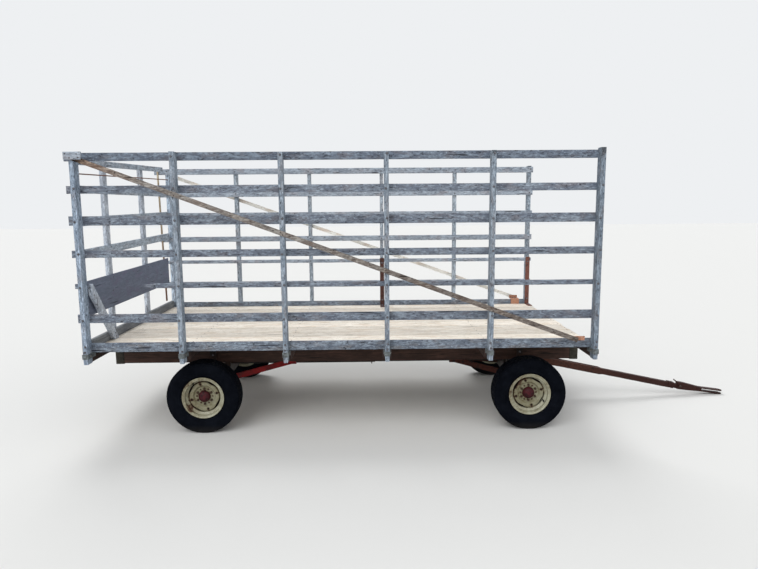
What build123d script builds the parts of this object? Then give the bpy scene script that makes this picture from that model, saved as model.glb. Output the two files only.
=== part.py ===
from build123d import *
import math
import os

# A four-wheel hay wagon with a slatted wooden rack. Millimetres, +X forward to the tongue,
# +Y to the wagon's left, +Z up. Everything is built with X = 0 at the middle of the rack and
# is moved along X at the end, so that the origin is on the ground below the middle of its box.

# Rack timber. The corner cleats' upper edge is the top of the rack.
rack_length = 4877.0
cleat_top = 2760.0
post_thick = 44.0
post_deep = 92.0
post_foot_thick = 38.0
post_foot_z = 785.0
bays = (903.0, 979.0, 965.0, 985.0)
post_tops = (cleat_top - 8.0, 2757.0, 2747.0, 2750.0, 2752.0, 2772.0)
deck_top = 911.0
deck_thick = 26.0
deck_half_width = 1195.0
deck_board_gap = 5.0
board_trims = (0.0, 9.0, 3.0, 14.0, 0.0, 6.0, 11.0, 2.0, 8.0, 0.0)
slat_thick = 22.0
slat_front_overhang = 18.0
curb_height = 64.0
cross_sill_wide = 90.0
cross_sill_high = 92.0
long_sill_wide = 90.0
long_sill_high = 184.0
long_sill_outer = 600.0
header_thick = 90.0
header_drop = 8.0
header_rear_overhang = 10.0
header_front_overhang = 62.0

# Side slats: level of the top edge, height of the board, and how far the right and the left one
# reach behind the rear post
side_slats = (
    (cleat_top - 2.0, 76.0, 90.0, 138.0),
    (2459.0, 72.0, 87.0, 104.0),
    (2181.0, 88.0, 86.0, 108.0),
    (1861.0, 69.0, 79.0, 102.0),
    (1546.0, 47.0, 72.0, 99.0),
    (1253.0, 84.0, 68.0, 96.0),
)
broken_slat = 4
broken_from = 12.0
broken_to = 640.0
splinters = ((0.0, 0.0), (-34.0, 9.0), (-12.0, 19.0), (-52.0, 30.0), (-20.0, 38.0), (0.0, 47.0))

# Rear rack: level of the top edge at the right and the left end, height of the board, and how
# far the board's left end stops short of the slats
rail_thick = 22.0
rear_rails = (
    (2712.0, 2772.0, 60.0, 126.0),
    (2465.0, 2465.0, 70.0, 0.0),
    (2171.0, 2198.0, 85.0, 0.0),
    (1867.0, 1914.0, 85.0, 0.0),
)
upright_wide = 90.0
upright_thick = 38.0
upright_places = (-591.0, 392.0)
upright_foot = 800.0
upright_top = 2700.0
panel_thick = 15.0
panel_top = (1563.0, 1589.0)
panel_high = 338.0
panel_left_gap = 75.0
rear_curb_thick = 38.0
rear_curb_high = 90.0
tie_rod_radius = 6.0
tie_rod_ends = (upright_top - 133.0, upright_top - 78.0)
corner_lath_size = 14.0
corner_lath_top = (-92.0, 2735.0)
corner_lath_foot = (-61.0, 1000.0)

# Braces, cleats and irons of the rack. The long braces' ends are measured along X from the
# rear and the front of the rack, and the kick brace's ends from the slats.
brace_wide = 45.0
brace_thick = 20.0
brace_top_inset = 18.0
brace_top_z = (cleat_top - 48.0, cleat_top - 75.0)
brace_foot_inset = 202.5
brace_foot_z = (980.0, 995.0)
cleat_high = 72.0
cleat_long = 160.0
cleat_overhang = 39.0
cleat_gap = 1.0
kick_wide = 85.0
kick_thick = 38.0
kick_top_inset = 45.0
kick_top_z = 1450.0
kick_foot_inset = 475.0
iron_thick = 8.0
iron_wide = 55.0
iron_top = 1556.0
iron_foot_long = 190.0
iron_posts = (3, 5)
strap_thick = 6.0
strap_high = 46.0
strap_flange = 8.0
strap_lap = 60.0
brace_foot_wide = 110.0
brace_foot_rise = 40.0
brace_foot_ahead = 70.0

# Running gear
tyre_radius = 364.0
tyre_width = 220.0
wheel_track_half = 965.0
rear_axle_x = -1410.0
front_axle_x = 1870.0
beam_size = 90.0
bolster_wide = 100.0
bolster_high = 80.0
bolster_half = 640.0
stake_thick = 12.0
stake_wide = 60.0
stake_top = 745.0
riser_wide = 90.0
rear_riser_y = 380.0
front_riser_y = 150.0
reach_z = 473.0
reach_tube_radius = 38.0
reach_tube_wall = 6.0
reach_pole_clearance = 0.5
reach_tube_front = 320.0
reach_pole_rear = -80.0
reach_rear_tail = 340.0
hound_high = 60.0
hound_thick = 25.0
collar_long = 70.0
collar_radius = 52.0
rear_hound_y = 420.0
front_hound_y = 300.0
rear_collar_x = -640.0
front_collar_x = 1230.0
spindle_radius = 25.0
spindle_base_radius = 38.0
spindle_inset = 6.0
shoulder_gap = 5.0
rear_beam_half = 700.0
running_gap = 0.05
reach_pin_radius = 7.0
reach_pin_half = 56.0
reach_pin_inset = 40.0
reach_hole_gap = 0.5
reach_hole_pitch = 150.0
reach_holes = 4

# Steering
kingpin_y = 720.0
kingpin_radius = 16.0
sleeve_radius = 36.0
sleeve_high = 120.0
neck_inset = 6.0
ear_thick = 20.0
ear_gap = 1.0
ear_radius = 40.0
web_inner = 46.0
web_thick = 22.0
arm_forward = 160.0
arm_outward = 60.0
arm_wide = 40.0
stud_radius = 10.0
rod_eye_radius = 22.0
rod_eye_thick = 24.0
rod_radius = 11.0
open_pivot_gap = 0.6
yoke_forward = 120.0
yoke_hub_radius = 35.0
yoke_hub_high = 440.0
king_bolt_radius = 14.0
lug_thick = 19.0
lug_radius = 40.0
bracket_plate = 15.0
bracket_half_width = 45.0
bolt_head = 12.0

# Tongue
hinge_x = 2215.0
hinge_z = 462.0
hinge_pin_radius = 12.0
yoke_half_width = 50.0
yoke_nose_radius = 30.0
tongue_bend_at = 1706.0
tongue_bend = 3.8
tongue_tip = 576.0
tube_size = 64.0
tube_wall = 6.0
tube_start = 105.0
tube_end = 1690.0
heel_long = 26.0
spread_long = 240.0
side_bar_thick = 14.0
side_bar_high = 76.0
side_bar_gap = 2.0
side_bar_end = 860.0
side_bar_nose = 90.0
slide_bar_clearance = 1.0
slide_bar_start = 1250.0
saddle_long = 70.0
lever_thick = 10.0
# From here on along the hitch's own line, from the bend
head_start = 28.0
head_top = 52.0
head_low = 32.0
head_wide = 60.0
head_flat = 60.0
head_heel = 120.0
head_end = 316.0
clevis_thick = 46.0
clevis_gap = 24.0
clevis_half_width = 38.0
clevis_start = 266.0
clevis_hole_radius = 13.5

# Wheels, as (radius, distance outward from the middle of the wheel)
bead_gap = 0.3
flange_face = 76.0
seat_radius = 190.5
rib_depth = 7.0
tread_half = 84.0
tread_thick = 20.0
groove_places = (12.0, 56.0)
groove_half = 4.5
wall_radius = 287.0
lip_radius = 212.0
bead_inner = 50.0
rim_wall = 6.0
well_radius = 168.0
rim_lip = 210.0
lip_out = 12.0
disc_thick = 6.0
disc_seat = 12.0
disc_crown = 30.0
disc_bore = 58.3
disc_edge = 155.0
gap_chord = 141.0
gap_first = -30.0
gap_count = 4
hand_hole_radius = 8.0
hand_hole_ring = 131.0
hand_hole_first = 15.0
stud_hole_radius = 7.0
stud_ring = 79.0
stud_count = 6
hub_inner_end = 70.0
hub_outer_end = 46.0
hub_radius = 48.0
hub_flange = 100.0
cap_radius = 57.0
cap_side = 26.0
cap_face = 66.0
cap_flat = 10.0

# Places worked out from the sizes above
rack_front = rack_length / 2
rack_rear = -rack_front
post_places = [rack_rear + post_thick / 2]
for bay in bays:
    post_places.append(post_places[-1] + bay)
post_places.append(rack_front - post_thick / 2)
slat_outer = deck_half_width + slat_thick
post_outer = slat_outer + post_deep
deck_bottom = deck_top - deck_thick
sill_top = deck_bottom - cross_sill_high
sill_bottom = sill_top - long_sill_high
header_rear = rack_rear - header_rear_overhang
header_front = rack_front + header_front_overhang
bolster_bottom = sill_bottom - bolster_high
beam_top = tyre_radius + beam_size / 2
beam_bottom = tyre_radius - beam_size / 2
yoke_x = front_axle_x + yoke_forward
sleeve_low = tyre_radius - sleeve_high / 2
sleeve_top = tyre_radius + sleeve_high / 2
arm_low = sleeve_low - ear_gap - ear_thick
arm_top = arm_low + ear_thick
rod_low = arm_top + ear_gap
rod_high = rod_low + rod_eye_thick
yoke_low = rod_high + ear_gap
half_clevis = clevis_thick / 2
# The tongue slopes down from its hinge until the lower edge of its tip is on the ground
bend = math.radians(tongue_bend)
tip_along = tongue_bend_at + tongue_tip * math.cos(bend) + half_clevis * math.sin(bend)
tip_up = tongue_tip * math.sin(bend) - half_clevis * math.cos(bend)
slope = math.asin(hinge_z / math.hypot(tip_along, tip_up)) + math.atan2(tip_up, tip_along)
tongue_slope = math.degrees(slope)
tongue_tip_x = hinge_x + tip_along * math.cos(slope) + tip_up * math.sin(slope)
rearmost_x = rack_rear - max(max(row[2:]) for row in side_slats)
to_origin = -(tongue_tip_x + rearmost_x) / 2

os.makedirs("parts", exist_ok=True)


def block(x0, x1, y0, y1, z0, z1):
    """A box between two corners."""
    centre = Pos((x0 + x1) / 2, (y0 + y1) / 2, (z0 + z1) / 2)
    return centre * Box(abs(x1 - x0), abs(y1 - y0), abs(z1 - z0))


def upright_cylinder(x, y, radius, z0, z1):
    return Pos(x, y, (z0 + z1) / 2) * Cylinder(radius, z1 - z0)


def plan(points, z0, z1):
    """A level plate: its outline in plan, from z0 to z1."""
    face = make_face(Polyline(*points, close=True))
    return Pos(0, 0, z0) * extrude(face, z1 - z0)


def elevation(points, y0, y1):
    """A plate that stands along X: its outline as (x, z), from y0 to y1."""
    face = make_face(Polyline(*[(x, 0, z) for x, z in points], close=True))
    return Pos(0, y0, 0) * extrude(face, y1 - y0, dir=(0, 1, 0))


def cross_section(points, x0, x1):
    """A plate that stands across the wagon: its outline as (y, z), from x0 to x1."""
    face = make_face(Polyline(*[(0, y, z) for y, z in points], close=True))
    return Pos(x0, 0, 0) * extrude(face, x1 - x0, dir=(1, 0, 0))


def bar(start, end, thick, high):
    """A straight bar of rectangular section between two points, its width level."""
    a, b = Vector(*start), Vector(*end)
    along = b - a
    plane = Plane(origin=a, x_dir=Vector(-along.Y, along.X, 0), z_dir=along)
    return extrude(plane * Rectangle(thick, high), along.length)


def to_left(shape):
    return shape.mirror(Plane.XZ)


def solids_of(shapes):
    found = []
    for shape in shapes:
        found.extend(shape.solids())
    return found


def save(name, *shapes):
    moved = [Pos(to_origin, 0, 0) * solid for solid in solids_of(shapes)]
    export_step(Compound(children=moved), f"parts/{name}.step")


# Deck: lengthwise boards, side by side, each sawn off at its own length
board_count = len(board_trims)
board_wide = (2 * deck_half_width - (board_count - 1) * deck_board_gap) / board_count
deck_boards = []
for number, trim in enumerate(board_trims):
    right_edge = -deck_half_width + number * (board_wide + deck_board_gap)
    deck_boards.append(
        block(rack_rear, rack_front - trim, right_edge, right_edge + board_wide, deck_bottom, deck_top)
    )
save("deck_boards", *deck_boards)

# Cross sills under the deck, one at each pair of posts: end ones of plank, the others square
cross_sills = []
for place in post_places:
    at_end = place in (post_places[0], post_places[-1])
    half = post_thick / 2 if at_end else cross_sill_wide / 2
    cross_sills.append(block(place - half, place + half, -slat_outer, slat_outer, sill_top, deck_bottom))
save("cross_sills", *cross_sills)

# Two long sills that lie on the bolsters, with a header across each pair of ends
long_sills = []
for side in (-1, 1):
    outer, inner = side * long_sill_outer, side * (long_sill_outer - long_sill_wide)
    long_sills.append(
        block(header_rear + header_thick, header_front - header_thick, outer, inner, sill_bottom, sill_top)
    )
save("long_sills", *long_sills)
header_bottom = sill_bottom - header_drop
sill_headers = []
for end in (header_rear, header_front - header_thick):
    sill_headers.append(
        block(end, end + header_thick, -long_sill_outer, long_sill_outer, header_bottom, sill_top)
    )
save("sill_headers", *sill_headers)


def side_post(place, top):
    """A post outside the right-hand slats, with its foot tapered below the strap."""
    half, foot = post_thick / 2, post_foot_thick / 2
    taper_z = deck_bottom - strap_high
    outline = (
        (place - half, top),
        (place + half, top),
        (place + half, taper_z),
        (place + foot, post_foot_z),
        (place - foot, post_foot_z),
        (place - half, taper_z),
    )
    return elevation(outline, -post_outer, -slat_outer)


right_posts = [side_post(place, top) for place, top in zip(post_places, post_tops)]
save("rack_posts", *right_posts, *[to_left(post) for post in right_posts])


def foot_strap(place, at_end):
    """A flat-iron strap bent round the foot of a right-hand post and onto the cross sill."""
    inner = post_thick / 2
    outer = inner + strap_thick
    front = -(post_outer + strap_thick)
    if at_end:
        lap = -(slat_outer - strap_lap)
        outline = (
            (-outer, lap), (-inner, lap), (-inner, -post_outer), (inner, -post_outer),
            (inner, lap), (outer, lap), (outer, front), (-outer, front),
        )
    else:
        wing = outer + strap_flange
        root = -(slat_outer + strap_thick)
        outline = (
            (-wing, -slat_outer), (-inner, -slat_outer), (-inner, -post_outer), (inner, -post_outer),
            (inner, -slat_outer), (wing, -slat_outer), (wing, root), (outer, root),
            (outer, front), (-outer, front), (-outer, root), (-wing, root),
        )
    shifted = [(place + x, y) for x, y in outline]
    return plan(shifted, deck_bottom - strap_high, deck_bottom)


right_straps = [foot_strap(place, i in (0, len(post_places) - 1)) for i, place in enumerate(post_places)]
save("post_straps", *right_straps, *[to_left(strap) for strap in right_straps])

# Side boards on the edge of the deck, standing proud of it as a curb
side_board = block(rack_rear, rack_front, -slat_outer, -deck_half_width, deck_bottom, deck_top + curb_height)
save("side_boards", side_board, to_left(side_board))


def side_slat(top, high, overhang):
    x0, x1 = rack_rear - overhang, rack_front + slat_front_overhang
    return block(x0, x1, -slat_outer, -deck_half_width, top - high, top)


save("slats_left", *[to_left(side_slat(top, high, left)) for top, high, _, left in side_slats])
slats = [side_slat(top, high, right) for top, high, right, _ in side_slats]
# The fifth slat of the right side has lost its length between the first two posts
broken = slats.pop(broken_slat)
top, high, overhang, _ = side_slats[broken_slat]
post_front = rack_rear + post_thick
stub = broken & block(rack_rear - overhang, post_front + broken_from, -slat_outer, 0, 0, top)
torn = [(post_front + broken_to + x, top - high + z * high / splinters[-1][1]) for x, z in splinters]
slat_end = rack_front + slat_front_overhang
rest = elevation(torn + [(slat_end, top), (slat_end, top - high)], -slat_outer, -deck_half_width)
save("slats_right", *slats, stub, rest)

# Long braces nailed to the outside of the posts, sawn off under a cleat at each rear corner
cleat_rear = rack_rear - cleat_overhang
cleat_low = cleat_top - cleat_high
cleat = block(
    cleat_rear, cleat_rear + cleat_long, -post_outer, -post_outer - brace_thick, cleat_low, cleat_top
)
save("corner_cleats", cleat, to_left(cleat))
brace_foot_x = rack_front - brace_foot_inset
brace_y = -(post_outer + brace_thick / 2)
for side, top_z, foot_z in zip(("right", "left"), brace_top_z, brace_foot_z):
    brace = bar(
        (rack_rear + brace_top_inset, brace_y, top_z), (brace_foot_x, brace_y, foot_z),
        brace_thick, brace_wide,
    )
    brace -= block(
        cleat_rear, cleat_rear + cleat_long + cleat_gap, -post_outer - brace_thick, -post_outer,
        cleat_low - cleat_gap, cleat_top,
    )
    brace -= block(rack_rear - brace_wide, rack_rear, -post_outer - brace_thick, -post_outer, 0, cleat_top)
    save(f"brace_{side}", brace if side == "right" else to_left(brace))

# A bent iron foot lies over the side board and holds the lower end of each brace out at the posts' face
foot_x1 = brace_foot_x + brace_foot_ahead
foot_x0 = foot_x1 - brace_foot_wide
shelf = deck_top + curb_height
shelf_end = -post_outer + strap_thick
inner_leg = -deck_half_width + strap_thick
brace_foot = cross_section(
    (
        (-deck_half_width, deck_top), (-deck_half_width, shelf), (-post_outer, shelf),
        (-post_outer, shelf + brace_foot_rise), (shelf_end, shelf + brace_foot_rise),
        (shelf_end, shelf + strap_thick), (inner_leg, shelf + strap_thick), (inner_leg, deck_top),
    ),
    foot_x0, foot_x1,
)
save("brace_feet", brace_foot, to_left(brace_foot))

# Rear rack: uprights nailed to the back of the end sill, rails and a panel on their inner side
rail_inner = rack_rear + rail_thick
uprights = []
for place in upright_places:
    half = upright_wide / 2
    uprights.append(
        block(rack_rear - upright_thick, rack_rear, place - half, place + half, upright_foot, upright_top)
    )
save("rear_uprights", *uprights)


def rear_board(right_z, left_z, high, left_end, thick):
    """A board across the rear rack: its top edge runs from right_z to left_z."""
    outline = (
        (-deck_half_width, right_z - high), (left_end, left_z - high), (left_end, left_z),
        (-deck_half_width, right_z),
    )
    return cross_section(outline, rack_rear, rack_rear + thick)


rails = [rear_board(*row[:3], deck_half_width - row[3], rail_thick) for row in rear_rails]
save("rear_rails", *rails)
save("rear_panel", rear_board(*panel_top, panel_high, deck_half_width - panel_left_gap, panel_thick))
curb_front = rack_rear + rear_curb_thick
curb_top = deck_top + rear_curb_high
save("rear_curb", block(rack_rear, curb_front, -deck_half_width, deck_half_width, deck_top, curb_top))

# Iron tie rod just inside the rails, from post to post, and a lath up the left rear corner
rod_line_x = rail_inner + tie_rod_radius
right_end = Vector(rod_line_x, -post_outer, tie_rod_ends[0])
left_end = Vector(rod_line_x, post_outer, tie_rod_ends[1])
tie_rod_plane = Plane(origin=right_end, z_dir=left_end - right_end)
tie_rod = extrude(tie_rod_plane * Circle(tie_rod_radius), (left_end - right_end).length)
tie_rod &= block(rack_rear, rod_line_x + post_thick, -slat_outer, slat_outer, deck_top, 2 * upright_top)
save("rear_tie_rod", tie_rod)
lath_y = deck_half_width - corner_lath_size / 2
lath_ends = [(rack_rear + x, lath_y, z) for x, z in (corner_lath_foot, corner_lath_top)]
save("corner_lath", bar(*lath_ends, corner_lath_size, corner_lath_size))

# Kick brace of the right rear corner, from the slats' broken stub down to the deck before the curb
kick_x = curb_front + kick_thick / 2
kick_top = (kick_top_inset - deck_half_width, kick_top_z)
kick_foot = (kick_foot_inset - deck_half_width, deck_top)
kick_run = (kick_foot[0] - kick_top[0], kick_foot[1] - kick_top[1])
kick_over = kick_wide / math.hypot(*kick_run)
kick_start = (kick_top[0] - kick_over * kick_run[0], kick_top[1] - kick_over * kick_run[1])
kick_end = (kick_foot[0] + kick_over * kick_run[0], kick_foot[1] + kick_over * kick_run[1])
kick = bar((kick_x, *kick_start), (kick_x, *kick_end), kick_thick, kick_wide)
kick -= block(kick_x - kick_thick, kick_x + kick_thick, -post_outer, post_outer, 0, deck_top)
kick -= block(kick_x - kick_thick, kick_x + kick_thick, -post_outer, -deck_half_width, 0, upright_top)
save("kick_brace", kick)

# Stake irons inside the slats of the left side, with a long foot on the deck
irons = []
for number in iron_posts:
    x1 = min(post_places[number] + iron_wide / 2, rack_front)
    x0 = x1 - iron_wide
    outline = (
        (-deck_half_width, deck_top), (-deck_half_width, iron_top),
        (-deck_half_width + iron_thick, iron_top),
        (-deck_half_width + iron_thick, deck_top + iron_thick),
        (-deck_half_width + iron_foot_long, deck_top + iron_thick),
        (-deck_half_width + iron_foot_long, deck_top),
    )
    irons.append(cross_section(outline, x0, x1))
save("stake_irons", *[to_left(iron) for iron in irons])


def bolster(axle_x):
    """A box-steel bolster across the gear, with a flat stake outside each long sill."""
    half = bolster_wide / 2
    beam = block(axle_x - half, axle_x + half, -bolster_half, bolster_half, bolster_bottom, sill_bottom)
    stake = block(
        axle_x - stake_wide / 2, axle_x + stake_wide / 2,
        -long_sill_outer, -long_sill_outer - stake_thick, sill_bottom - bolster_high / 2, stake_top,
    )
    return beam + stake + to_left(stake)


save("bolsters", bolster(rear_axle_x), bolster(front_axle_x))


def risers(axle_x, riser_y):
    """Steel blocks between the axle beam and the bolster, either side of the reach."""
    half = beam_size / 2
    right = block(axle_x - half, axle_x + half, -riser_y - riser_wide, -riser_y, beam_top, bolster_bottom)
    return right, to_left(right)


def reach_saddle(axle_x, radius):
    """A block on the axle beam that holds the reach, bored for it."""
    half = beam_size / 2
    body = block(axle_x - half, axle_x + half, -collar_radius, collar_radius, beam_top, bolster_bottom)
    hole = Pos(axle_x, 0, reach_z) * Rot(0, 90, 0) * Cylinder(radius, 3 * beam_size)
    return body - hole


def along_x(radius, x0, x1):
    return Pos((x0 + x1) / 2, 0, reach_z) * Rot(0, 90, 0) * Cylinder(radius, x1 - x0)


# The reach: a tube from the rear axle and the pole that slides in it from the front axle
tube_rear = rear_axle_x - reach_rear_tail
reach_bore = reach_tube_radius - reach_tube_wall
reach_tube = along_x(reach_tube_radius, tube_rear, reach_tube_front)
reach_tube -= along_x(reach_bore, tube_rear - 1, reach_tube_front + 1)
pin_place = reach_tube_front - reach_pin_inset
pin_hole = reach_pin_radius + reach_hole_gap
pin_bottom, pin_top = reach_z - reach_pin_half, reach_z + reach_pin_half
reach_tube -= upright_cylinder(pin_place, 0, pin_hole, pin_bottom, pin_top)
save("reach_tube", reach_tube)
pole_radius = reach_bore - reach_pole_clearance
pole_front = front_axle_x + beam_size / 2
reach_pole = along_x(pole_radius, reach_pole_rear, pole_front)
for number in range(reach_holes):
    reach_pole -= upright_cylinder(pin_place + number * reach_hole_pitch, 0, pin_hole, pin_bottom, pin_top)
save("reach_pole", reach_pole)
reach_pin = upright_cylinder(pin_place, 0, reach_pin_radius, pin_bottom, pin_top)
reach_pin += upright_cylinder(pin_place, 0, 2 * reach_pin_radius, pin_top - reach_pin_radius, pin_top)
save("reach_pin", reach_pin)
save(
    "axle_stands",
    *risers(rear_axle_x, rear_riser_y), reach_saddle(rear_axle_x, reach_tube_radius),
    *risers(front_axle_x, front_riser_y), reach_saddle(front_axle_x, pole_radius),
)


def hound_set(axle_face, axle_y, collar_x, radius):
    """Two bars from the axle beam that close on a collar round the reach, as three solids."""
    collar = along_x(collar_radius, collar_x - collar_long / 2, collar_x + collar_long / 2)
    side_y = collar_radius - hound_thick / 4
    for side in (-1, 1):
        collar -= block(
            collar_x - collar_long, collar_x + collar_long, side * side_y, side * 2 * collar_radius,
            reach_z - 2 * collar_radius, reach_z + 2 * collar_radius,
        )
    collar -= along_x(radius, collar_x - collar_long, collar_x + collar_long)
    axle_end = (axle_face, -axle_y, tyre_radius)
    reach_end = (collar_x, -side_y - hound_thick / 2, reach_z)
    run = Vector(*reach_end) - Vector(*axle_end)
    start = Vector(*axle_end) - run * 0.2
    end = Vector(*reach_end) + run * 0.2
    hound = bar(tuple(start), tuple(end), hound_thick, hound_high)
    forward = 1 if collar_x > axle_face else -1
    far = axle_face - forward * bolster_half
    hound -= block(min(far, axle_face), max(far, axle_face), -2 * axle_y, 0, 0, 2 * reach_z)
    past = collar_x + forward * collar_long / 2
    beyond = past + forward * bolster_half
    hound -= block(min(past, beyond), max(past, beyond), -axle_y, axle_y, 0, 2 * reach_z)
    hound -= block(collar_x - bolster_half, collar_x + bolster_half, -side_y, axle_y, 0, 2 * reach_z)
    return collar, hound, to_left(hound)


rear_face = rear_axle_x + beam_size / 2
save("rear_hounds", *hound_set(rear_face, rear_hound_y, rear_collar_x, reach_tube_radius))
front_face = front_axle_x - beam_size / 2
save("front_hounds", *hound_set(front_face, front_hound_y, front_collar_x, pole_radius))

# Rear axle: a box beam with a spindle at each end
spindle_end = wheel_track_half + hub_outer_end - spindle_inset
shoulder = wheel_track_half - hub_inner_end - shoulder_gap


def spindle(root_y):
    """The right-hand spindle, along -Y from root_y."""
    outline = (
        (0, -root_y), (spindle_base_radius, -root_y), (spindle_base_radius, -shoulder),
        (spindle_radius, -shoulder), (spindle_radius, -spindle_end), (0, -spindle_end),
    )
    return revolve(make_face(Polyline(*outline, close=True)), Axis.Y, 360)


rear_beam = block(
    rear_axle_x - beam_size / 2, rear_axle_x + beam_size / 2,
    -rear_beam_half, rear_beam_half, beam_bottom, beam_top,
)
rear_spindle = Pos(rear_axle_x, 0, tyre_radius) * spindle(rear_beam_half)
save("rear_axle", rear_beam + rear_spindle + to_left(rear_spindle))

# Front axle: a box beam that ends in upright sleeves for the kingpins
front_beam_half = kingpin_y - sleeve_radius / 2
front_beam = block(
    front_axle_x - beam_size / 2, front_axle_x + beam_size / 2,
    -front_beam_half + sleeve_radius, front_beam_half - sleeve_radius, beam_bottom, beam_top,
)
neck = plan(
    (
        (front_axle_x - beam_size / 2, -front_beam_half + sleeve_radius),
        (front_axle_x - sleeve_radius + neck_inset, -kingpin_y),
        (front_axle_x + sleeve_radius - neck_inset, -kingpin_y),
        (front_axle_x + beam_size / 2, -front_beam_half + sleeve_radius),
    ),
    beam_bottom, beam_top,
)
sleeve = upright_cylinder(front_axle_x, -kingpin_y, sleeve_radius, sleeve_low, sleeve_top)
axle_end = neck + sleeve
front_axle = front_beam + axle_end + to_left(axle_end)
for side in (-1, 1):
    front_axle -= upright_cylinder(
        front_axle_x, side * kingpin_y, kingpin_radius + running_gap, sleeve_low - 1, sleeve_top + 1
    )

# Bracket on the front of the axle with two lugs for the king bolt
lug_low_top = yoke_low - ear_gap
lug_low_bottom = lug_low_top - lug_thick
lug_high_bottom = yoke_hub_high + ear_gap
lug_high_top = lug_high_bottom + lug_thick
bracket_back = front_axle_x + beam_size / 2
bracket = block(
    bracket_back, bracket_back + bracket_plate,
    -bracket_half_width, bracket_half_width, lug_low_bottom, lug_high_top,
)
for z0, z1 in ((lug_low_bottom, lug_low_top), (lug_high_bottom, lug_high_top)):
    bracket += block(bracket_back, yoke_x, -lug_radius, lug_radius, z0, z1)
    bracket += upright_cylinder(yoke_x, 0, lug_radius, z0, z1)
bracket -= upright_cylinder(yoke_x, 0, king_bolt_radius + running_gap, lug_low_bottom - 1, lug_high_top + 1)
save("front_axle", front_axle + bracket)
king_bolt = upright_cylinder(yoke_x, 0, king_bolt_radius, lug_low_bottom - bolt_head, lug_high_top)
for z in (lug_high_top, lug_low_bottom - bolt_head):
    king_bolt += Pos(yoke_x, 0, z) * extrude(RegularPolygon(1.7 * king_bolt_radius, 6), bolt_head)
save("king_bolt", king_bolt)

# Steering knuckle: two ears and a web round the sleeve, kingpin, spindle and steering arm
ear_high = sleeve_top + ear_gap + ear_thick
web_outer = web_inner + web_thick
knuckle = block(-ear_radius, ear_radius, -web_outer, -web_inner, arm_low, ear_high)
for z0, z1 in ((arm_low, arm_top), (ear_high - ear_thick, ear_high)):
    knuckle += upright_cylinder(0, 0, ear_radius, z0, z1)
    knuckle += block(-ear_radius, ear_radius, -web_outer, 0, z0, z1)
knuckle += upright_cylinder(0, 0, kingpin_radius, arm_low, ear_high)
knuckle += Pos(0, kingpin_y, tyre_radius) * spindle(kingpin_y + web_inner)
arm_angle = math.degrees(math.atan2(-arm_outward, arm_forward))
arm_length = math.hypot(arm_forward, arm_outward)
arm = Pos(arm_length / 2, 0, (arm_low + arm_top) / 2) * Box(arm_length, arm_wide, ear_thick)
arm += upright_cylinder(arm_length, 0, arm_wide / 2 + 4, arm_low, arm_top)
arm += upright_cylinder(arm_length, 0, stud_radius, arm_top, rod_high + ear_gap)
knuckle += Rot(0, 0, arm_angle) * arm
knuckle = Pos(front_axle_x, -kingpin_y, 0) * knuckle
save("knuckle_right", knuckle)
save("knuckle_left", to_left(knuckle))

# Tie rod: from the knuckle's stud to the yoke's stud, always parallel to kingpin and king bolt
rod_from = Vector(front_axle_x + arm_forward, -(kingpin_y + arm_outward), 0)
rod_to = Vector(yoke_x + arm_forward, -arm_outward, 0)
rod_mid_z = (rod_low + rod_high) / 2
rod_line = rod_to - rod_from
rod_plane = Plane(origin=(rod_from.X, rod_from.Y, rod_mid_z), z_dir=rod_line)
track_rod = extrude(rod_plane * Circle(rod_radius), rod_line.length)
for centre in (rod_from, rod_to):
    track_rod += upright_cylinder(centre.X, centre.Y, rod_eye_radius, rod_low, rod_high)
track_rod -= upright_cylinder(rod_from.X, rod_from.Y, stud_radius + running_gap, rod_low - 1, rod_high + 1)
track_rod -= upright_cylinder(rod_to.X, rod_to.Y, stud_radius + open_pivot_gap, rod_low - 1, rod_high + 1)
save("tie_rod_right", track_rod)
save("tie_rod_left", to_left(track_rod))

# Steering yoke: a hub on the king bolt, a plate with the two rod studs and a nose for the tongue
plate_top = yoke_low + lug_thick
yoke = upright_cylinder(yoke_x, 0, yoke_hub_radius, yoke_low, yoke_hub_high)
stud_x = yoke_x + arm_forward
plate_side = arm_outward + rod_eye_radius
yoke += plan(
    (
        (yoke_x, -yoke_hub_radius), (stud_x - rod_eye_radius, -plate_side),
        (stud_x + rod_eye_radius, -plate_side), (stud_x + rod_eye_radius, plate_side),
        (stud_x - rod_eye_radius, plate_side), (yoke_x, yoke_hub_radius),
    ),
    yoke_low, plate_top,
)
yoke += elevation(
    (
        (yoke_x, yoke_low), (stud_x, yoke_low), (hinge_x, hinge_z - yoke_nose_radius),
        (hinge_x, hinge_z + yoke_nose_radius),
        (yoke_x + lug_radius + 34, hinge_z + yoke_nose_radius), (yoke_x + lug_radius + 12, yoke_hub_high),
        (yoke_x, yoke_hub_high),
    ),
    -yoke_half_width, yoke_half_width,
)
yoke += Pos(hinge_x, 0, hinge_z) * Rot(90, 0, 0) * Cylinder(yoke_nose_radius, 2 * yoke_half_width)
for side in (-1, 1):
    yoke += upright_cylinder(stud_x, side * arm_outward, stud_radius, rod_low - ear_gap, yoke_low)
pin_half = yoke_half_width + side_bar_gap + side_bar_thick + 8
yoke += Pos(hinge_x, 0, hinge_z) * Rot(90, 0, 0) * Cylinder(hinge_pin_radius, 2 * pin_half)
yoke -= upright_cylinder(yoke_x, 0, king_bolt_radius + running_gap, yoke_low - 1, yoke_hub_high + 1)
save("steering_yoke", yoke)


def on_tongue(shape):
    """Lays a piece built along +X from the hinge down to the tongue's slope."""
    return Pos(hinge_x, 0, hinge_z) * Rot(0, tongue_slope, 0) * shape


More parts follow.
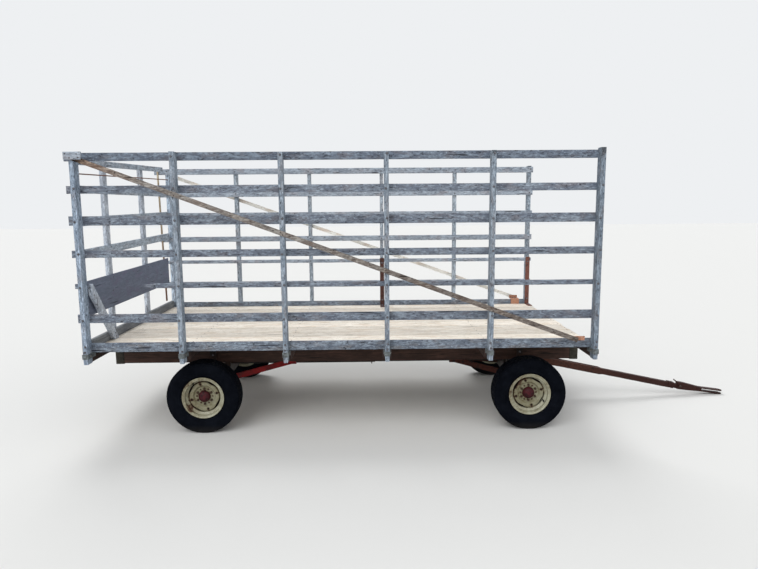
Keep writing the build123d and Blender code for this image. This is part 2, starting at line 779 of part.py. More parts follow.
# Tongue: a box tube with two side bars that spread to the hinge
half_tube = tube_size / 2
tube_bore = half_tube - tube_wall
bar_in = yoke_half_width + side_bar_gap
bar_out = bar_in + side_bar_thick
tongue_tube = block(tube_start, tube_end, -half_tube, half_tube, -half_tube, half_tube)
tongue_tube += block(tube_start, tube_start + heel_long, -bar_in, bar_in, -half_tube, half_tube)
tongue_tube -= block(tube_start + heel_long, tube_end + 1, -tube_bore, tube_bore, -tube_bore, tube_bore)
save("tongue_tube", on_tongue(tongue_tube))
spread_from, spread_to = tube_start + heel_long, tube_start + spread_long
side_plan = plan(
    (
        (-side_bar_high, bar_in), (spread_from, bar_in), (spread_to, half_tube), (side_bar_end, half_tube),
        (side_bar_end, half_tube + side_bar_thick), (spread_to, half_tube + side_bar_thick),
        (spread_from, bar_out), (-side_bar_high, bar_out),
    ),
    -side_bar_high / 2, side_bar_high / 2,
)
side_shape = elevation(
    (
        (0, -side_bar_high / 2), (side_bar_end - side_bar_nose, -side_bar_high / 2),
        (side_bar_end, -side_bar_high / 4), (side_bar_end, side_bar_high / 4),
        (side_bar_end - side_bar_nose, side_bar_high / 2), (0, side_bar_high / 2),
    ),
    0, 2 * bar_out,
)
side_shape += Pos(0, bar_out, 0) * Rot(90, 0, 0) * Cylinder(side_bar_high / 2, 2 * bar_out)
side_bar = side_plan & side_shape
side_bar -= Rot(90, 0, 0) * Cylinder(hinge_pin_radius + running_gap, 4 * bar_out)
save("tongue_side_bars", on_tongue(side_bar), on_tongue(to_left(side_bar)))

# Hitch: a bar latched inside the tube, bent up beyond it, with a cast head that ends in a clevis
bar_half = tube_bore - slide_bar_clearance
slide_bar = block(slide_bar_start, tongue_bend_at, -bar_half, bar_half, -bar_half, bar_half)
head = elevation(
    (
        (head_start, -head_low), (head_start, head_top), (head_start + head_flat, head_top),
        (head_end, half_clevis), (head_end, -half_clevis), (head_start + head_heel, -head_low),
    ),
    -head_wide / 2, head_wide / 2,
)
head += block(-bar_half * math.sin(bend), head_start, -bar_half, bar_half, -bar_half, bar_half)
pin_x = tongue_tip - clevis_half_width
clevis = block(clevis_start, pin_x, -clevis_half_width, clevis_half_width, -half_clevis, half_clevis)
clevis += upright_cylinder(pin_x, 0, clevis_half_width, -half_clevis, half_clevis)
head += clevis
head -= block(
    head_end, tongue_tip + 1, -clevis_half_width - 1, clevis_half_width + 1, -clevis_gap / 2, clevis_gap / 2
)
head -= upright_cylinder(pin_x, 0, clevis_hole_radius, -clevis_thick, clevis_thick)
save("hitch_bar", on_tongue(slide_bar + Pos(tongue_bend_at, 0, 0) * Rot(0, -tongue_bend, 0) * head))

# Latch: a saddle clamped over the end of the tube with a lever that stands up and back
saddle_outer = half_tube + strap_thick
saddle = block(tube_end - saddle_long, tube_end, -saddle_outer, saddle_outer, -half_tube / 2, saddle_outer)
saddle -= block(tube_end - 2 * saddle_long, tube_end + 1, -half_tube, half_tube, -tube_size, half_tube)
lever = elevation(
    (
        (tube_end - 40, saddle_outer - 2), (tube_end - 10, saddle_outer - 2),
        (tube_end - 14, saddle_outer + 16), (tube_end - 70, saddle_outer + 46),
        (tube_end - 78, saddle_outer + 38), (tube_end - 34, saddle_outer + 12),
    ),
    -lever_thick / 2, lever_thick / 2,
)
save("tongue_latch", on_tongue(saddle + lever))


def revolved(profile_face):
    """Spins a profile drawn as (radius, distance outward) round the wheel's axis, along Y."""
    return revolve(profile_face, Axis.Y, 360)


# Tyre: ribbed tread, rounded shoulders and sidewalls, open inside, with beads on the rim's seats
half_tyre = tyre_width / 2
tread = []
for middle in groove_places:
    for edge, radius in (
        (-groove_half - 2, tyre_radius), (-groove_half, tyre_radius - rib_depth),
        (groove_half, tyre_radius - rib_depth), (groove_half + 2, tyre_radius),
    ):
        tread.append((radius, middle + edge))
crown_inside = tyre_radius - tread_thick
bead_face = flange_face - bead_gap
bead_seat = seat_radius + bead_gap
tyre_edges = Polyline((crown_inside, 0), (crown_inside, tread_half - 10))
tyre_edges += ThreePointArc(
    (crown_inside, tread_half - 10), (wall_radius, half_tyre - 14), (lip_radius, bead_face - 12)
)
tyre_edges += Polyline(
    (lip_radius, bead_face - 12), (bead_seat + 8, bead_inner), (bead_seat, bead_inner),
    (bead_seat, bead_face), (lip_radius, bead_face),
)
tyre_edges += ThreePointArc(
    (lip_radius, bead_face), (wall_radius, half_tyre), (tyre_radius - 12, tread_half + 12)
)
tyre_edges += ThreePointArc(
    (tyre_radius - 12, tread_half + 12), (tyre_radius - 2.5, tread_half + 7), (tyre_radius, tread_half)
)
tyre_edges += Polyline((tyre_radius, tread_half), *reversed(tread), (tyre_radius, 0))
outline_edges = tyre_edges.edges() + tyre_edges.mirror(Plane.XZ).edges()
tyre = revolved(make_face(outline_edges))

# Wheel: a drop-centre rim with a crowned disc that is bolted to the hub's flange
lip_face = flange_face + lip_out
rim_points = (
    (rim_lip, lip_face), (rim_lip, flange_face + 4), (rim_lip - 8, flange_face), (seat_radius, flange_face),
    (seat_radius, 44), (well_radius, 32), (well_radius, -28), (seat_radius, -40), (seat_radius, -flange_face),
    (rim_lip - 8, -flange_face), (rim_lip, -flange_face - 4), (rim_lip, -lip_face),
    (rim_lip - rim_wall, -lip_face), (rim_lip - 8 - rim_wall, -flange_face - rim_wall),
    (seat_radius - rim_wall, -flange_face - rim_wall), (seat_radius - rim_wall, -40 - rim_wall / 2),
    (well_radius - rim_wall, -28 - rim_wall / 2), (well_radius - rim_wall, 32 + rim_wall / 2),
    (seat_radius - rim_wall, 44 + rim_wall / 2), (seat_radius - rim_wall, flange_face + rim_wall),
    (rim_lip - 8 - rim_wall, flange_face + rim_wall), (rim_lip - rim_wall, lip_face),
)
disc_points = (
    (disc_bore, disc_seat), (104, disc_seat), (119, disc_crown), (disc_edge - 14, disc_crown),
    (disc_edge - 4, 6), (well_radius - rim_wall / 2, 6), (well_radius - rim_wall / 2, 26), (disc_edge, 18),
    (disc_edge - 8, disc_crown + disc_thick), (115, disc_crown + disc_thick),
    (100, disc_seat + disc_thick), (disc_bore, disc_seat + disc_thick),
)
disc = revolved(make_face(Polyline(*disc_points, close=True)))
# Four flats on the disc's edge leave gaps between it and the rim
for number in range(gap_count):
    gap = block(gap_chord, 2 * well_radius, 0, lip_face, -well_radius, well_radius)
    disc -= Rot(0, -gap_first - number * 360 / gap_count, 0) * gap
for count, ring, radius, first in (
    (gap_count, hand_hole_ring, hand_hole_radius, hand_hole_first),
    (stud_count, stud_ring, stud_hole_radius, 180 / stud_count),
):
    for number in range(count):
        angle = math.radians(first + number * 360 / count)
        drill = Rot(90, 0, 0) * Cylinder(radius, 4 * lip_face)
        disc -= Pos(ring * math.cos(angle), 0, ring * math.sin(angle)) * drill
rim = revolved(make_face(Polyline(*rim_points, close=True))) + disc

# Hub: bored for the spindle from behind, with a flange behind the disc and a domed cap
bore_radius = spindle_radius + running_gap
hub_edges = Polyline(
    (0, hub_outer_end - 2), (bore_radius, hub_outer_end - 2), (bore_radius, -hub_inner_end),
    (hub_radius, -hub_inner_end), (hub_radius + 6, -4), (hub_flange, -2), (hub_flange, disc_seat),
    (cap_radius, disc_seat), (cap_radius, disc_seat + cap_side),
)
hub_edges += ThreePointArc(
    (cap_radius, disc_seat + cap_side), (cap_radius * 0.72, cap_face - 7), (cap_flat, cap_face)
)
hub_edges += Polyline((cap_flat, cap_face), (0, cap_face), (0, hub_outer_end - 2))
hub = revolved(make_face(hub_edges.edges()))

wheel_places = (
    ("rear_right", rear_axle_x, -1), ("rear_left", rear_axle_x, 1),
    ("front_right", front_axle_x, -1), ("front_left", front_axle_x, 1),
)
for name, axle_x, side in wheel_places:
    place = Pos(axle_x, side * wheel_track_half, tyre_radius)
    for piece_name, piece in (("tyre", tyre), ("rim", rim), ("hub", hub)):
        turned = piece if side > 0 else to_left(piece)
        save(f"{piece_name}_{name}", place * turned)
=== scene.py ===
import bpy
import math
from mathutils import Matrix, Vector


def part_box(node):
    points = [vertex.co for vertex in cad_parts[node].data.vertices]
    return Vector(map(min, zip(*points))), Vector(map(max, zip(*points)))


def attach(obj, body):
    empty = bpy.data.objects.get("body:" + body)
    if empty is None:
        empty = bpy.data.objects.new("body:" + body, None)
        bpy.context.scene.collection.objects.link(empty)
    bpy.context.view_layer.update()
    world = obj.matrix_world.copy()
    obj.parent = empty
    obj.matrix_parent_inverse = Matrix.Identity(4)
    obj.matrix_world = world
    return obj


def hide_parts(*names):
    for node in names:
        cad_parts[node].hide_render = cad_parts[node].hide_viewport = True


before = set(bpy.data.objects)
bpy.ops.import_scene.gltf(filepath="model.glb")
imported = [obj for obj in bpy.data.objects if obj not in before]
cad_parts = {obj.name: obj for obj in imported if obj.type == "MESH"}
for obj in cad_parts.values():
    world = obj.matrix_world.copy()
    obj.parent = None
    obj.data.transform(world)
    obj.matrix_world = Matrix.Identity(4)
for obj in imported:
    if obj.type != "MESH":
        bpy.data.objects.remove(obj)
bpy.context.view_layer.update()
bpy.ops.object.select_all(action="DESELECT")

# Camera: 5.4 m off the right side, level with the upper slats and a little behind the middle of
# the rack. The three angles are pitch, roll and heading in degrees.
camera_place = (-0.6518, -6.755, 2.2545)
camera_turn = (82.400, 0.436, -0.803)
bpy.ops.object.camera_add(location=camera_place, rotation=[math.radians(turn) for turn in camera_turn])
camera = bpy.context.object
camera.name = "camera"
camera.data.sensor_width = 36.0
camera.data.lens = 27.95
camera.data.clip_end = 200.0
bpy.context.scene.camera = camera
bpy.context.scene.view_settings.view_transform = "Standard"


# Floor and light: a studio sweep of matt off-white board under large soft lamps. The board lights
# the underside of the wagon a little, and keeps its shadow.
def linear(code):
    """A colour written as sRGB hex, as the linear one that a shader takes."""
    parts = [int(code[place:place + 2], 16) / 255 for place in (1, 3, 5)]
    return tuple(p / 12.92 if p <= 0.04045 else ((p + 0.055) / 1.055) ** 2.4 for p in parts) + (1.0,)


def add(tree, kind, settings=None, links=None):
    """Adds one node, sets its properties and sockets, and links its sockets to others' outputs."""
    made = tree.nodes.new(kind)
    for key, value in (settings or {}).items():
        if isinstance(key, str) and hasattr(made, key):
            setattr(made, key, value)
        else:
            made.inputs[key].default_value = value
    for key, output in (links or {}).items():
        tree.links.new(output, made.inputs[key])
    return made


def new_material(name):
    """An empty node material, its tree and shader, and its object coordinates."""
    made = bpy.data.materials.new(name)
    made.use_nodes = True
    shader = made.node_tree.nodes["Principled BSDF"]
    where = add(made.node_tree, "ShaderNodeTexCoord")
    return made, made.node_tree, shader, where.outputs["Object"]


bpy.ops.mesh.primitive_plane_add(size=120.0, location=(0, 0, 0))
floor = bpy.context.object
floor.name = "floor"
studio_board, tree, shader, where = new_material("studio_board_matt")
shader.inputs["Base Color"].default_value = linear("#dcdcda")
shader.inputs["Roughness"].default_value = 0.95
floor.data.materials.append(studio_board)

world = bpy.context.scene.world or bpy.data.worlds.new("studio")
bpy.context.scene.world = world
world.use_nodes = True
tree = world.node_tree
tree.nodes.clear()
rays = add(tree, "ShaderNodeLightPath")
seen = add(tree, "ShaderNodeMath", {"operation": "MAXIMUM"},
           {0: rays.outputs["Is Camera Ray"], 1: rays.outputs["Is Glossy Ray"]})
seen = add(tree, "ShaderNodeMath", {"operation": "MAXIMUM"},
           {0: seen.outputs[0], 1: rays.outputs["Is Transmission Ray"]})
room = add(tree, "ShaderNodeBackground", {"Color": linear("#f2f4f7"), "Strength": 0.5})
sweep = add(tree, "ShaderNodeBackground", {"Color": linear("#eef0f2"), "Strength": 1.0})
both = add(tree, "ShaderNodeMixShader", {}, {0: seen.outputs[0], 1: room.outputs[0], 2: sweep.outputs[0]})
add(tree, "ShaderNodeOutputWorld", {}, {"Surface": both.outputs[0]})

# Each lamp's direction and the width of its light in degrees, and its strength
for name, turn, wide, power in (
    ("key_lamp", (52, 0, -28), 50, 1.55), ("fill_lamp", (48, 0, 50), 70, 0.55),
    ("back_lamp", (38, 0, 195), 30, 1.3),
):
    bpy.ops.object.light_add(type="SUN", location=(0, 0, 9), rotation=[math.radians(a) for a in turn])
    lamp = bpy.context.object
    lamp.name = name
    lamp.data.angle = math.radians(wide)
    lamp.data.energy = power


# Deck: ten rough-sawn softwood boards, laid lengthwise and nailed to the sills, bleached by the
# sun to a pale cream with brown streaks. Each board has its own tone.
def timber(name, tones, grain, weather, snap=None, chips=0.0, knots=0.7, gloss=0.78, bump=0.5, spread=0.16):
    """Old sawn timber. tones are its pale, middle, dark and crack colours, and that of its stains;
    grain is the axis of the fibres; weather is how much of the middle tone shows; snap is (axis,
    start, pitch) of boards that lie side by side; chips is how much of an old whitewash has flaked
    off; spread is how far the boards' tones differ. Fibres of 1 to 3 mm are drawn 9 mm, to show."""
    pale, middle, dark, crack, warm = [linear(tone) for tone in (*tones, tones[1])[:5]]
    made, tree, shader, where = new_material(name)

    def fibres(along, across, detail, rough, bend=0.0, shift=0.0):
        """Streaks that are along metres long with the grain and across metres wide."""
        size = [1 / along if axis == grain else 1 / across for axis in range(3)]
        spot = add(tree, "ShaderNodeMapping", {"Scale": size, "Location": (shift, shift * 0.7, shift * 1.3)},
                   {"Vector": where})
        look = {"Scale": 1.0, "Detail": detail, "Roughness": rough, "Distortion": bend}
        return add(tree, "ShaderNodeTexNoise", look, {"Vector": spot.outputs[0]}).outputs[0]

    # Each layer has a pattern, the values at which it starts and is full, its strength and colour
    streak = fibres(0.30 - 0.15 * chips, 0.009, 7.0, 0.62, 0.6)
    layers = [(streak, 0.44, 0.68, 0.75 - 0.15 * chips, dark)]
    if chips:
        stain = fibres(0.20, 0.075, 3.0, 0.6, 0.4, 9.0)
        flakes = fibres(0.055, 0.017, 4.0, 0.7, 0.8, 4.0)
        speck = fibres(0.032, 0.012, 2.0, 0.6, 0.0, 7.0)
        layers += [
            (stain, 0.52, 0.64, 0.6, warm),
            (flakes, 0.60 - 0.16 * chips, 0.66 - 0.14 * chips, 0.5, dark),
            (flakes, 0.40 - 0.05 * chips, 0.30 - 0.05 * chips, 0.45, pale),
            (speck, 0.60, 0.67, 0.85 * chips, crack),
            (speck, 0.40, 0.33, 0.8 * chips, pale),
        ]
    if knots:
        # Dark ovals drawn out along the fibres, about 30 mm wide
        oval = add(tree, "ShaderNodeMapping", {"Scale": [1.3 if axis == grain else 3.6 for axis in range(3)]},
                   {"Vector": where})
        oval = add(tree, "ShaderNodeTexVoronoi", {"Scale": 1.0, "Randomness": 1.0},
                   {"Vector": oval.outputs[0]})
        layers.append((oval.outputs["Distance"], 0.075, 0.045, knots, crack))
    layers.append((fibres(0.38, 0.021, 3.0, 0.5, 0.0, 3.1), 0.66, 0.71, 1.0, crack))

    patches = fibres(0.24 - 0.08 * chips, 0.055, 6.0, 0.68, 0.5)
    part = add(tree, "ShaderNodeMapRange", {1: weather - 0.08, 2: weather + 0.10}, {0: patches})
    colour = add(tree, "ShaderNodeMix", {"data_type": "RGBA", 6: middle, 7: pale}, {0: part.outputs[0]})
    for pattern, start, full, strength, over in layers:
        part = add(tree, "ShaderNodeMapRange", {1: start, 2: full, 4: strength}, {0: pattern})
        colour = add(tree, "ShaderNodeMix", {"data_type": "RGBA", 7: over},
                     {0: part.outputs[0], 6: colour.outputs[2]})
    if snap:
        # One tone to each board, on each side of the wagon
        axis, start, pitch = snap
        sides, whole = 2.4, 80.0
        step = [pitch if a == axis else (sides if a == 1 and grain != 1 else whole) for a in range(3)]
        shift = [-start if a == axis else (0.0 if step[a] == sides else whole / 2) for a in range(3)]
        moved = add(tree, "ShaderNodeMapping", {"Location": shift}, {"Vector": where})
        board = add(tree, "ShaderNodeVectorMath", {"operation": "SNAP", 1: step}, {0: moved.outputs[0]})
        board = add(tree, "ShaderNodeTexWhiteNoise", {"noise_dimensions": "3D"}, {"Vector": board.outputs[0]})
        tone, low, high = board.outputs["Value"], 0.0, 1.0
    else:
        slow = add(tree, "ShaderNodeTexNoise", {"Scale": 0.9, "Detail": 2.0}, {"Vector": where})
        tone, low, high = slow.outputs[0], 0.3, 0.7
    amount = add(tree, "ShaderNodeMapRange", {1: low, 2: high, 3: 1.0 - spread, 4: 1.0 + spread * 0.8},
                 {0: tone})
    colour = add(tree, "ShaderNodeVectorMath", {"operation": "SCALE"},
                 {0: colour.outputs[2], 3: amount.outputs[0]})
    tree.links.new(colour.outputs[0], shader.inputs["Base Color"])
    # The last layer, the cracks, is sunk below the streaks
    relief = add(tree, "ShaderNodeMath", {"operation": "SUBTRACT"}, {0: streak, 1: part.outputs[0]})
    rough = add(tree, "ShaderNodeBump", {"Strength": bump, "Distance": 0.004}, {"Height": relief.outputs[0]})
    tree.links.new(rough.outputs[0], shader.inputs["Normal"])
    shader.inputs["Roughness"].default_value = gloss
    shader.inputs["Specular IOR Level"].default_value = 0.25
    return made


def fade(material, axis, start, end, first, last):
    """Tints a material's colour by first up to start and by last from end on, along one axis."""
    tree = material.node_tree
    shader = tree.nodes["Principled BSDF"]
    place = add(tree, "ShaderNodeSeparateXYZ", {}, {0: tree.nodes["Texture Coordinate"].outputs["Object"]})
    part = add(tree, "ShaderNodeMapRange", {1: start, 2: end}, {0: place.outputs[axis]})
    tint = add(tree, "ShaderNodeMix", {"data_type": "RGBA", 6: (*first, 1.0), 7: (*last, 1.0)},
               {0: part.outputs[0]})
    tone = add(tree, "ShaderNodeMix", {"data_type": "RGBA", "blend_type": "MULTIPLY", 0: 1.0},
               {6: shader.inputs["Base Color"].links[0].from_socket, 7: tint.outputs[2]})
    tree.links.new(tone.outputs[2], shader.inputs["Base Color"])


def select_only(*pieces):
    """Selects these pieces, or nothing, and makes the first one active."""
    bpy.ops.object.select_all(action="DESELECT")
    for piece in pieces:
        piece.select_set(True)
    if pieces:
        bpy.context.view_layer.objects.active = pieces[0]


def mode(name):
    """Goes to edit mode or back to object mode."""
    bpy.ops.object.mode_set(mode=name)


def edit_all():
    """Opens the active piece in edit mode, all selected."""
    mode("EDIT")
    bpy.ops.mesh.select_all(action="SELECT")


def apply_place():
    """Moves the active piece's place, turn and size into its mesh."""
    bpy.ops.object.transform_apply(location=True, rotation=True, scale=True)


def roughen(piece, size, depth, strength, level):
    """Pushes the active piece's faces in and out, in lumps of about size metres."""
    lumps = bpy.data.textures.new(f"{piece.name}_lumps", "CLOUDS")
    lumps.noise_scale, lumps.noise_depth = size, depth
    uneven = piece.modifiers.new("uneven", "DISPLACE")
    uneven.texture, uneven.strength, uneven.mid_level = lumps, strength, level
    bpy.ops.object.modifier_apply(modifier=uneven.name)


def finish_piece(piece, material, body, node=None):
    """Gives a piece its material and its body, and hides the CAD node that it replaces."""
    piece.data.materials.clear()
    piece.data.materials.append(material)
    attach(piece, body)
    if node:
        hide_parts(node)


def wear(node, material, slot, edge=0.003, wobble=0.0022, pitch=0.16, body="wagon", level=0.75):
    """A copy of a node of boards, with edges rounded edge metres over and faces wobble metres uneven.
    The faces are cut every pitch metres for that, and a level of 1 only sinks them."""
    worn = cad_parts[node].copy()
    worn.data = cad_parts[node].data.copy()
    worn.parent = None
    for key in list(worn.keys()):
        del worn[key]
    bpy.context.collection.objects.link(worn)
    worn.name = worn.data.name = f"{node}_worn"
    select_only(worn)
    edit_all()
    bpy.ops.mesh.remove_doubles(threshold=0.00001)
    bpy.ops.mesh.dissolve_limited(angle_limit=math.radians(1))
    low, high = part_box(node)
    for axis in range(3 if pitch else 0):
        count = int((high[axis] - low[axis]) / pitch)
        for step in range(1, count):
            at, normal = [0, 0, 0], [0, 0, 0]
            at[axis] = low[axis] + step * (high[axis] - low[axis]) / count
            normal[axis] = 1
            bpy.ops.mesh.select_all(action="SELECT")
            bpy.ops.mesh.bisect(plane_co=at, plane_no=normal)
    bpy.ops.mesh.select_all(action="DESELECT")
    mode("OBJECT")
    rounding = worn.modifiers.new("worn_edges", "BEVEL")
    rounding.width, rounding.segments, rounding.limit_method = edge, 2, "ANGLE"
    rounding.angle_limit = math.radians(40)
    bpy.ops.object.modifier_apply(modifier=rounding.name)
    if wobble:
        roughen(worn, 0.09, 1, wobble, level)
    bpy.ops.object.shade_smooth_by_angle(angle=math.radians(32))
    finish_piece(worn, material, body, node)


board_count, board_gap = 10, 0.005
deck_low, deck_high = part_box("deck_boards")
deck_pitch = (deck_high.y - deck_low.y + board_gap) / board_count
deck_wood = timber(
    "softwood_boards_sun_bleached", ("#fbf5ea", "#ece3d6", "#b9aa98", "#665646", "#dccbb6"), 0, 0.48,
    snap=(1, deck_low.y - board_gap / 2, deck_pitch), bump=0.35, chips=0.3,
)
wear("deck_boards", deck_wood, "deck_wood")


# Deck nails: two wire nails through each board into each sill, in rows that wander a little. Their
# flat heads lie on the wood and have rusted dark.
def rusty(name, tones, coarse=0.035, gloss=0.72, metal=0.35):
    """Bare or once painted iron: a skin of rust in patches about coarse metres wide."""
    first, second, third = [linear(tone) for tone in tones]
    made, tree, shader, where = new_material(name)
    blotch = add(tree, "ShaderNodeTexNoise", {"Scale": 1 / coarse, "Detail": 6.0, "Roughness": 0.65},
                 {"Vector": where})
    grit = add(tree, "ShaderNodeTexNoise", {"Scale": 9 / coarse, "Detail": 3.0, "Roughness": 0.7},
               {"Vector": where})
    ramp = add(tree, "ShaderNodeValToRGB", {}, {0: blotch.outputs[0]})
    start, end = ramp.color_ramp.elements
    start.position, start.color = 0.36, first
    end.position, end.color = 0.66, third
    ramp.color_ramp.elements.new(0.5).color = second
    speck = add(tree, "ShaderNodeMapRange", {1: 0.35, 2: 0.7, 3: 0.82, 4: 1.18}, {0: grit.outputs[0]})
    colour = add(tree, "ShaderNodeVectorMath", {"operation": "SCALE"},
                 {0: ramp.outputs[0], 3: speck.outputs[0]})
    tree.links.new(colour.outputs[0], shader.inputs["Base Color"])
    shine = add(tree, "ShaderNodeMapRange", {1: 0.3, 2: 0.7, 3: gloss, 4: gloss - 0.2},
                {0: blotch.outputs[0]})
    tree.links.new(shine.outputs[0], shader.inputs["Roughness"])
    shader.inputs["Metallic"].default_value = metal
    shader.inputs["Specular IOR Level"].default_value = 0.5 if metal > 0.3 else 0.2
    pits = add(tree, "ShaderNodeBump", {"Strength": 0.35, "Distance": 0.002}, {"Height": grit.outputs[0]})
    tree.links.new(pits.outputs[0], shader.inputs["Normal"])
    return made


def pick(kind, test):
    """Selects, in edit mode, the corners or faces of the active piece that pass the test."""
    mode("EDIT")
    bpy.ops.mesh.select_mode(type=kind)
    bpy.ops.mesh.select_all(action="DESELECT")
    mode("OBJECT")
    mesh = bpy.context.object.data
    for part in mesh.polygons if kind == "FACE" else mesh.vertices:
        part.select = bool(test(part))
    mode("EDIT")


def pick_top(piece):
    """Selects, in edit mode, the flat round top of a piece that points up."""
    top = max(corner.co.z for corner in piece.data.vertices) - 0.0001
    pick("FACE", lambda face: face.normal.z > 0.9 and face.center.z > top and len(face.vertices) > 4)


def stand(sides, radius, high, base=0.0):
    """Adds a cylinder that stands on base, to the piece in edit mode or as an object."""
    bpy.ops.mesh.primitive_cylinder_add(
        vertices=sides, radius=radius, depth=high, location=(0, 0, base + high / 2)
    )


masters = []


def start_master(name, sides, radius, high, base=0.0):
    """Starts a small piece that is copied later and then removed, as a cylinder that stands on base."""
    select_only()
    stand(sides, radius, high, base)
    masters.append(bpy.context.object)
    masters[-1].name = name
    return masters[-1]


def finish_master(smooth=0):
    """Applies the active piece's place, and smooths what bends by less than smooth degrees."""
    mode("OBJECT")
    apply_place()
    if smooth:
        bpy.ops.object.shade_smooth_by_angle(angle=math.radians(smooth))
    return bpy.context.object


def shape_nail(name, radius, high, sides=8):
    """A flat nail head: a low disc with its rim rounded over."""
    pick_top(start_master(name, sides, radius, high))
    bpy.ops.mesh.inset(thickness=radius * 0.3, depth=high * 0.35)
    return finish_master()


def join(name, pieces):
    """Makes one piece of several."""
    select_only(*pieces)
    bpy.ops.object.join()
    made = bpy.context.object
    made.name = made.data.name = name
    return made


def set_out(name, master, places, material, body="wagon"):
    """Copies a master, which points up +Z, to each (place, direction, turn) and joins the copies."""
    copies = []
    for place, direction, turn in places:
        copy = master.copy()
        copy.data = master.data.copy()
        bpy.context.collection.objects.link(copy)
        copy.matrix_world = (
            Matrix.Translation(place) @ Vector(direction).to_track_quat("Z", "Y").to_matrix().to_4x4()
            @ Matrix.Rotation(turn, 4, "Z")
        )
        copies.append(copy)
    made = join(name, copies)
    apply_place()
    finish_piece(made, material, body)


nail_iron = rusty("wire_nails_rusted", ("#3a2f2b", "#4b3c34", "#2a2523"), coarse=0.02)
rear_x, post_half = deck_low.x, 0.022
post_x = [rear_x + post_half]
for bay in (0.903, 0.979, 0.965, 0.985):
    post_x.append(post_x[-1] + bay)
post_x.append(deck_high.x - post_half)
deck_nail = shape_nail("deck_nail", 0.0055, 0.0012)
places = []
for number in range(board_count):
    for row, x in enumerate(post_x):
        # The front row is set back, into the sill behind the header
        back = 0.018 if row == len(post_x) - 1 else 0.0
        for step in (0.045, deck_pitch - 0.05):
            wander = 0.012 * math.sin(7.3 * number + 3.1 * row + 40 * step)
            y = deck_low.y + number * deck_pitch + step + wander
            places.append(((x - back + wander * 0.8, y, deck_high.z), (0, 0, 1), 0.4 * number))
set_out("deck_nails", deck_nail, places, nail_iron)

# Sills: the long sills, the cross sills on them and the two headers are sawn oak beams, never
# painted, stained dark red-brown. The rear header is black with tar, the front one grey-brown.
sill_wood = timber(
    "oak_beams_dark_stained", ("#4b352d", "#392822", "#241814", "#110d0b"), 0, 0.52, gloss=0.75,
)
cross_sill_wood = timber(
    "oak_cross_beams_dark_stained", ("#42322d", "#322420", "#211714", "#110d0b"), 1, 0.52, gloss=0.75,
)
wear("long_sills", sill_wood, "frame_wood", edge=0.005)
header_wood = timber("oak_headers_tarred_and_worn", ("#67645b", "#504d46", "#393631", "#1f1d1b"), 1, 0.5)
fade(header_wood, 0, -1.0, 1.0, (0.30, 0.28, 0.26), (0.44, 0.43, 0.40))
wear("cross_sills", cross_sill_wood, "frame_wood", edge=0.004)
wear("sill_headers", header_wood, "header_wood", edge=0.005)

# Rack: posts, slats and side boards of sawn softwood that was once whitewashed. The wash has
# worn to a blue-grey skin over silver wood, and every crack and knot shows dark.
unchanged = (1.0, 1.0, 1.0)
slat_steps = (2, 1.07, 0.3)
slat_right_wood = timber(
    "softwood_slats_right_worn_whitewash", ("#9ba7b4", "#727c8b", "#53555f", "#2a2b31", "#827e82"), 0, 0.50,
    snap=slat_steps, chips=1.0, spread=0.07,
)
# The top slat has lost most of its whitewash
fade(slat_right_wood, 2, 2.50, 2.62, unchanged, (0.80, 0.83, 0.86))
slat_left_wood = timber(
    "softwood_slats_left_worn_whitewash", ("#b3bfcb", "#909ba8", "#6c707b", "#38393f", "#9a969a"), 0, 0.50,
    snap=slat_steps, chips=0.8, spread=0.06,
)
board_wood = timber(
    "softwood_side_boards_worn_whitewash", ("#9aa6b3", "#6e7987", "#4d515b", "#2a2c33", "#7e7977"), 0, 0.50,
    chips=1.0, spread=0.08,
)
# The bays are about 0.97 m long, so that each post falls into a step of its own
bay_mean = 0.97
post_wood = timber(
    "softwood_posts_worn_whitewash", ("#afbcc9", "#818f9d", "#5a606a", "#292b31", "#8d8a8c"), 2, 0.48,
    snap=(0, post_x[0] + 0.4515 - bay_mean, bay_mean), chips=1.0, spread=0.08,
)
# The left posts are painted lighter, as painted light on their shaded inner faces; the rear posts
# have kept more of their whitewash, while the front ones are greyer
fade(post_wood, 1, -0.2, 0.2, unchanged, (1.28, 1.26, 1.22))
fade(post_wood, 0, -3.0, -2.6, (1.22, 1.26, 1.32), unchanged)
fade(post_wood, 0, 0.9, 1.3, unchanged, (0.80, 0.82, 0.84))
rail_wood = timber(
    "softwood_rails_worn_whitewash", ("#c3d0dc", "#9daab8", "#757a86", "#383a40", "#a3a2a8"), 1, 0.50,
    snap=(2, 1.70, 0.31), chips=0.8, spread=0.08,
)
curb_wood = timber("softwood_curb_grey", ("#8f9294", "#74787d", "#53565b", "#323335"), 1, 0.52)
panel_wood = timber(
    "plywood_panel_grey", ("#747c8e", "#687081", "#5a6272", "#434955", "#6b677e"), 1, 0.52,
    knots=0.0, bump=0.15, spread=0.06, chips=0.35,
)
upright_wood = timber(
    "softwood_uprights_worn_whitewash", ("#dde6f0", "#b5c0cd", "#868b96", "#3a3c43", "#aeb0b8"), 2, 0.50,
    chips=0.9, spread=0.08,
)
for node, wood, look in (
    ("slats_left", slat_left_wood, {}), ("slats_right", slat_right_wood, {}), ("side_boards", board_wood, {}),
    ("corner_cleats", slat_left_wood, {"level": 1.0}),
    ("rack_posts", post_wood, {"edge": 0.004, "wobble": 0.004, "pitch": 0.09}),
    ("rear_uprights", upright_wood, {}), ("kick_brace", upright_wood, {}),
    ("rear_rails", rail_wood, {}), ("rear_curb", curb_wood, {}),
):
    wear(node, wood, "rack_wood", **look)
wear("rear_panel", panel_wood, "panel_wood", edge=0.002, wobble=0.003)

# Long braces: one softwood lath to each side, nailed slantwise over the posts. The right one is
# grey-brown with rust where it meets the rear post, the left one still has its cream paint.
brace_right_wood = timber(
    "softwood_lath_grey_brown", ("#b0aca6", "#88807a", "#544a45", "#2a2523", "#85756a"), 0, 0.5, chips=1.0,
)
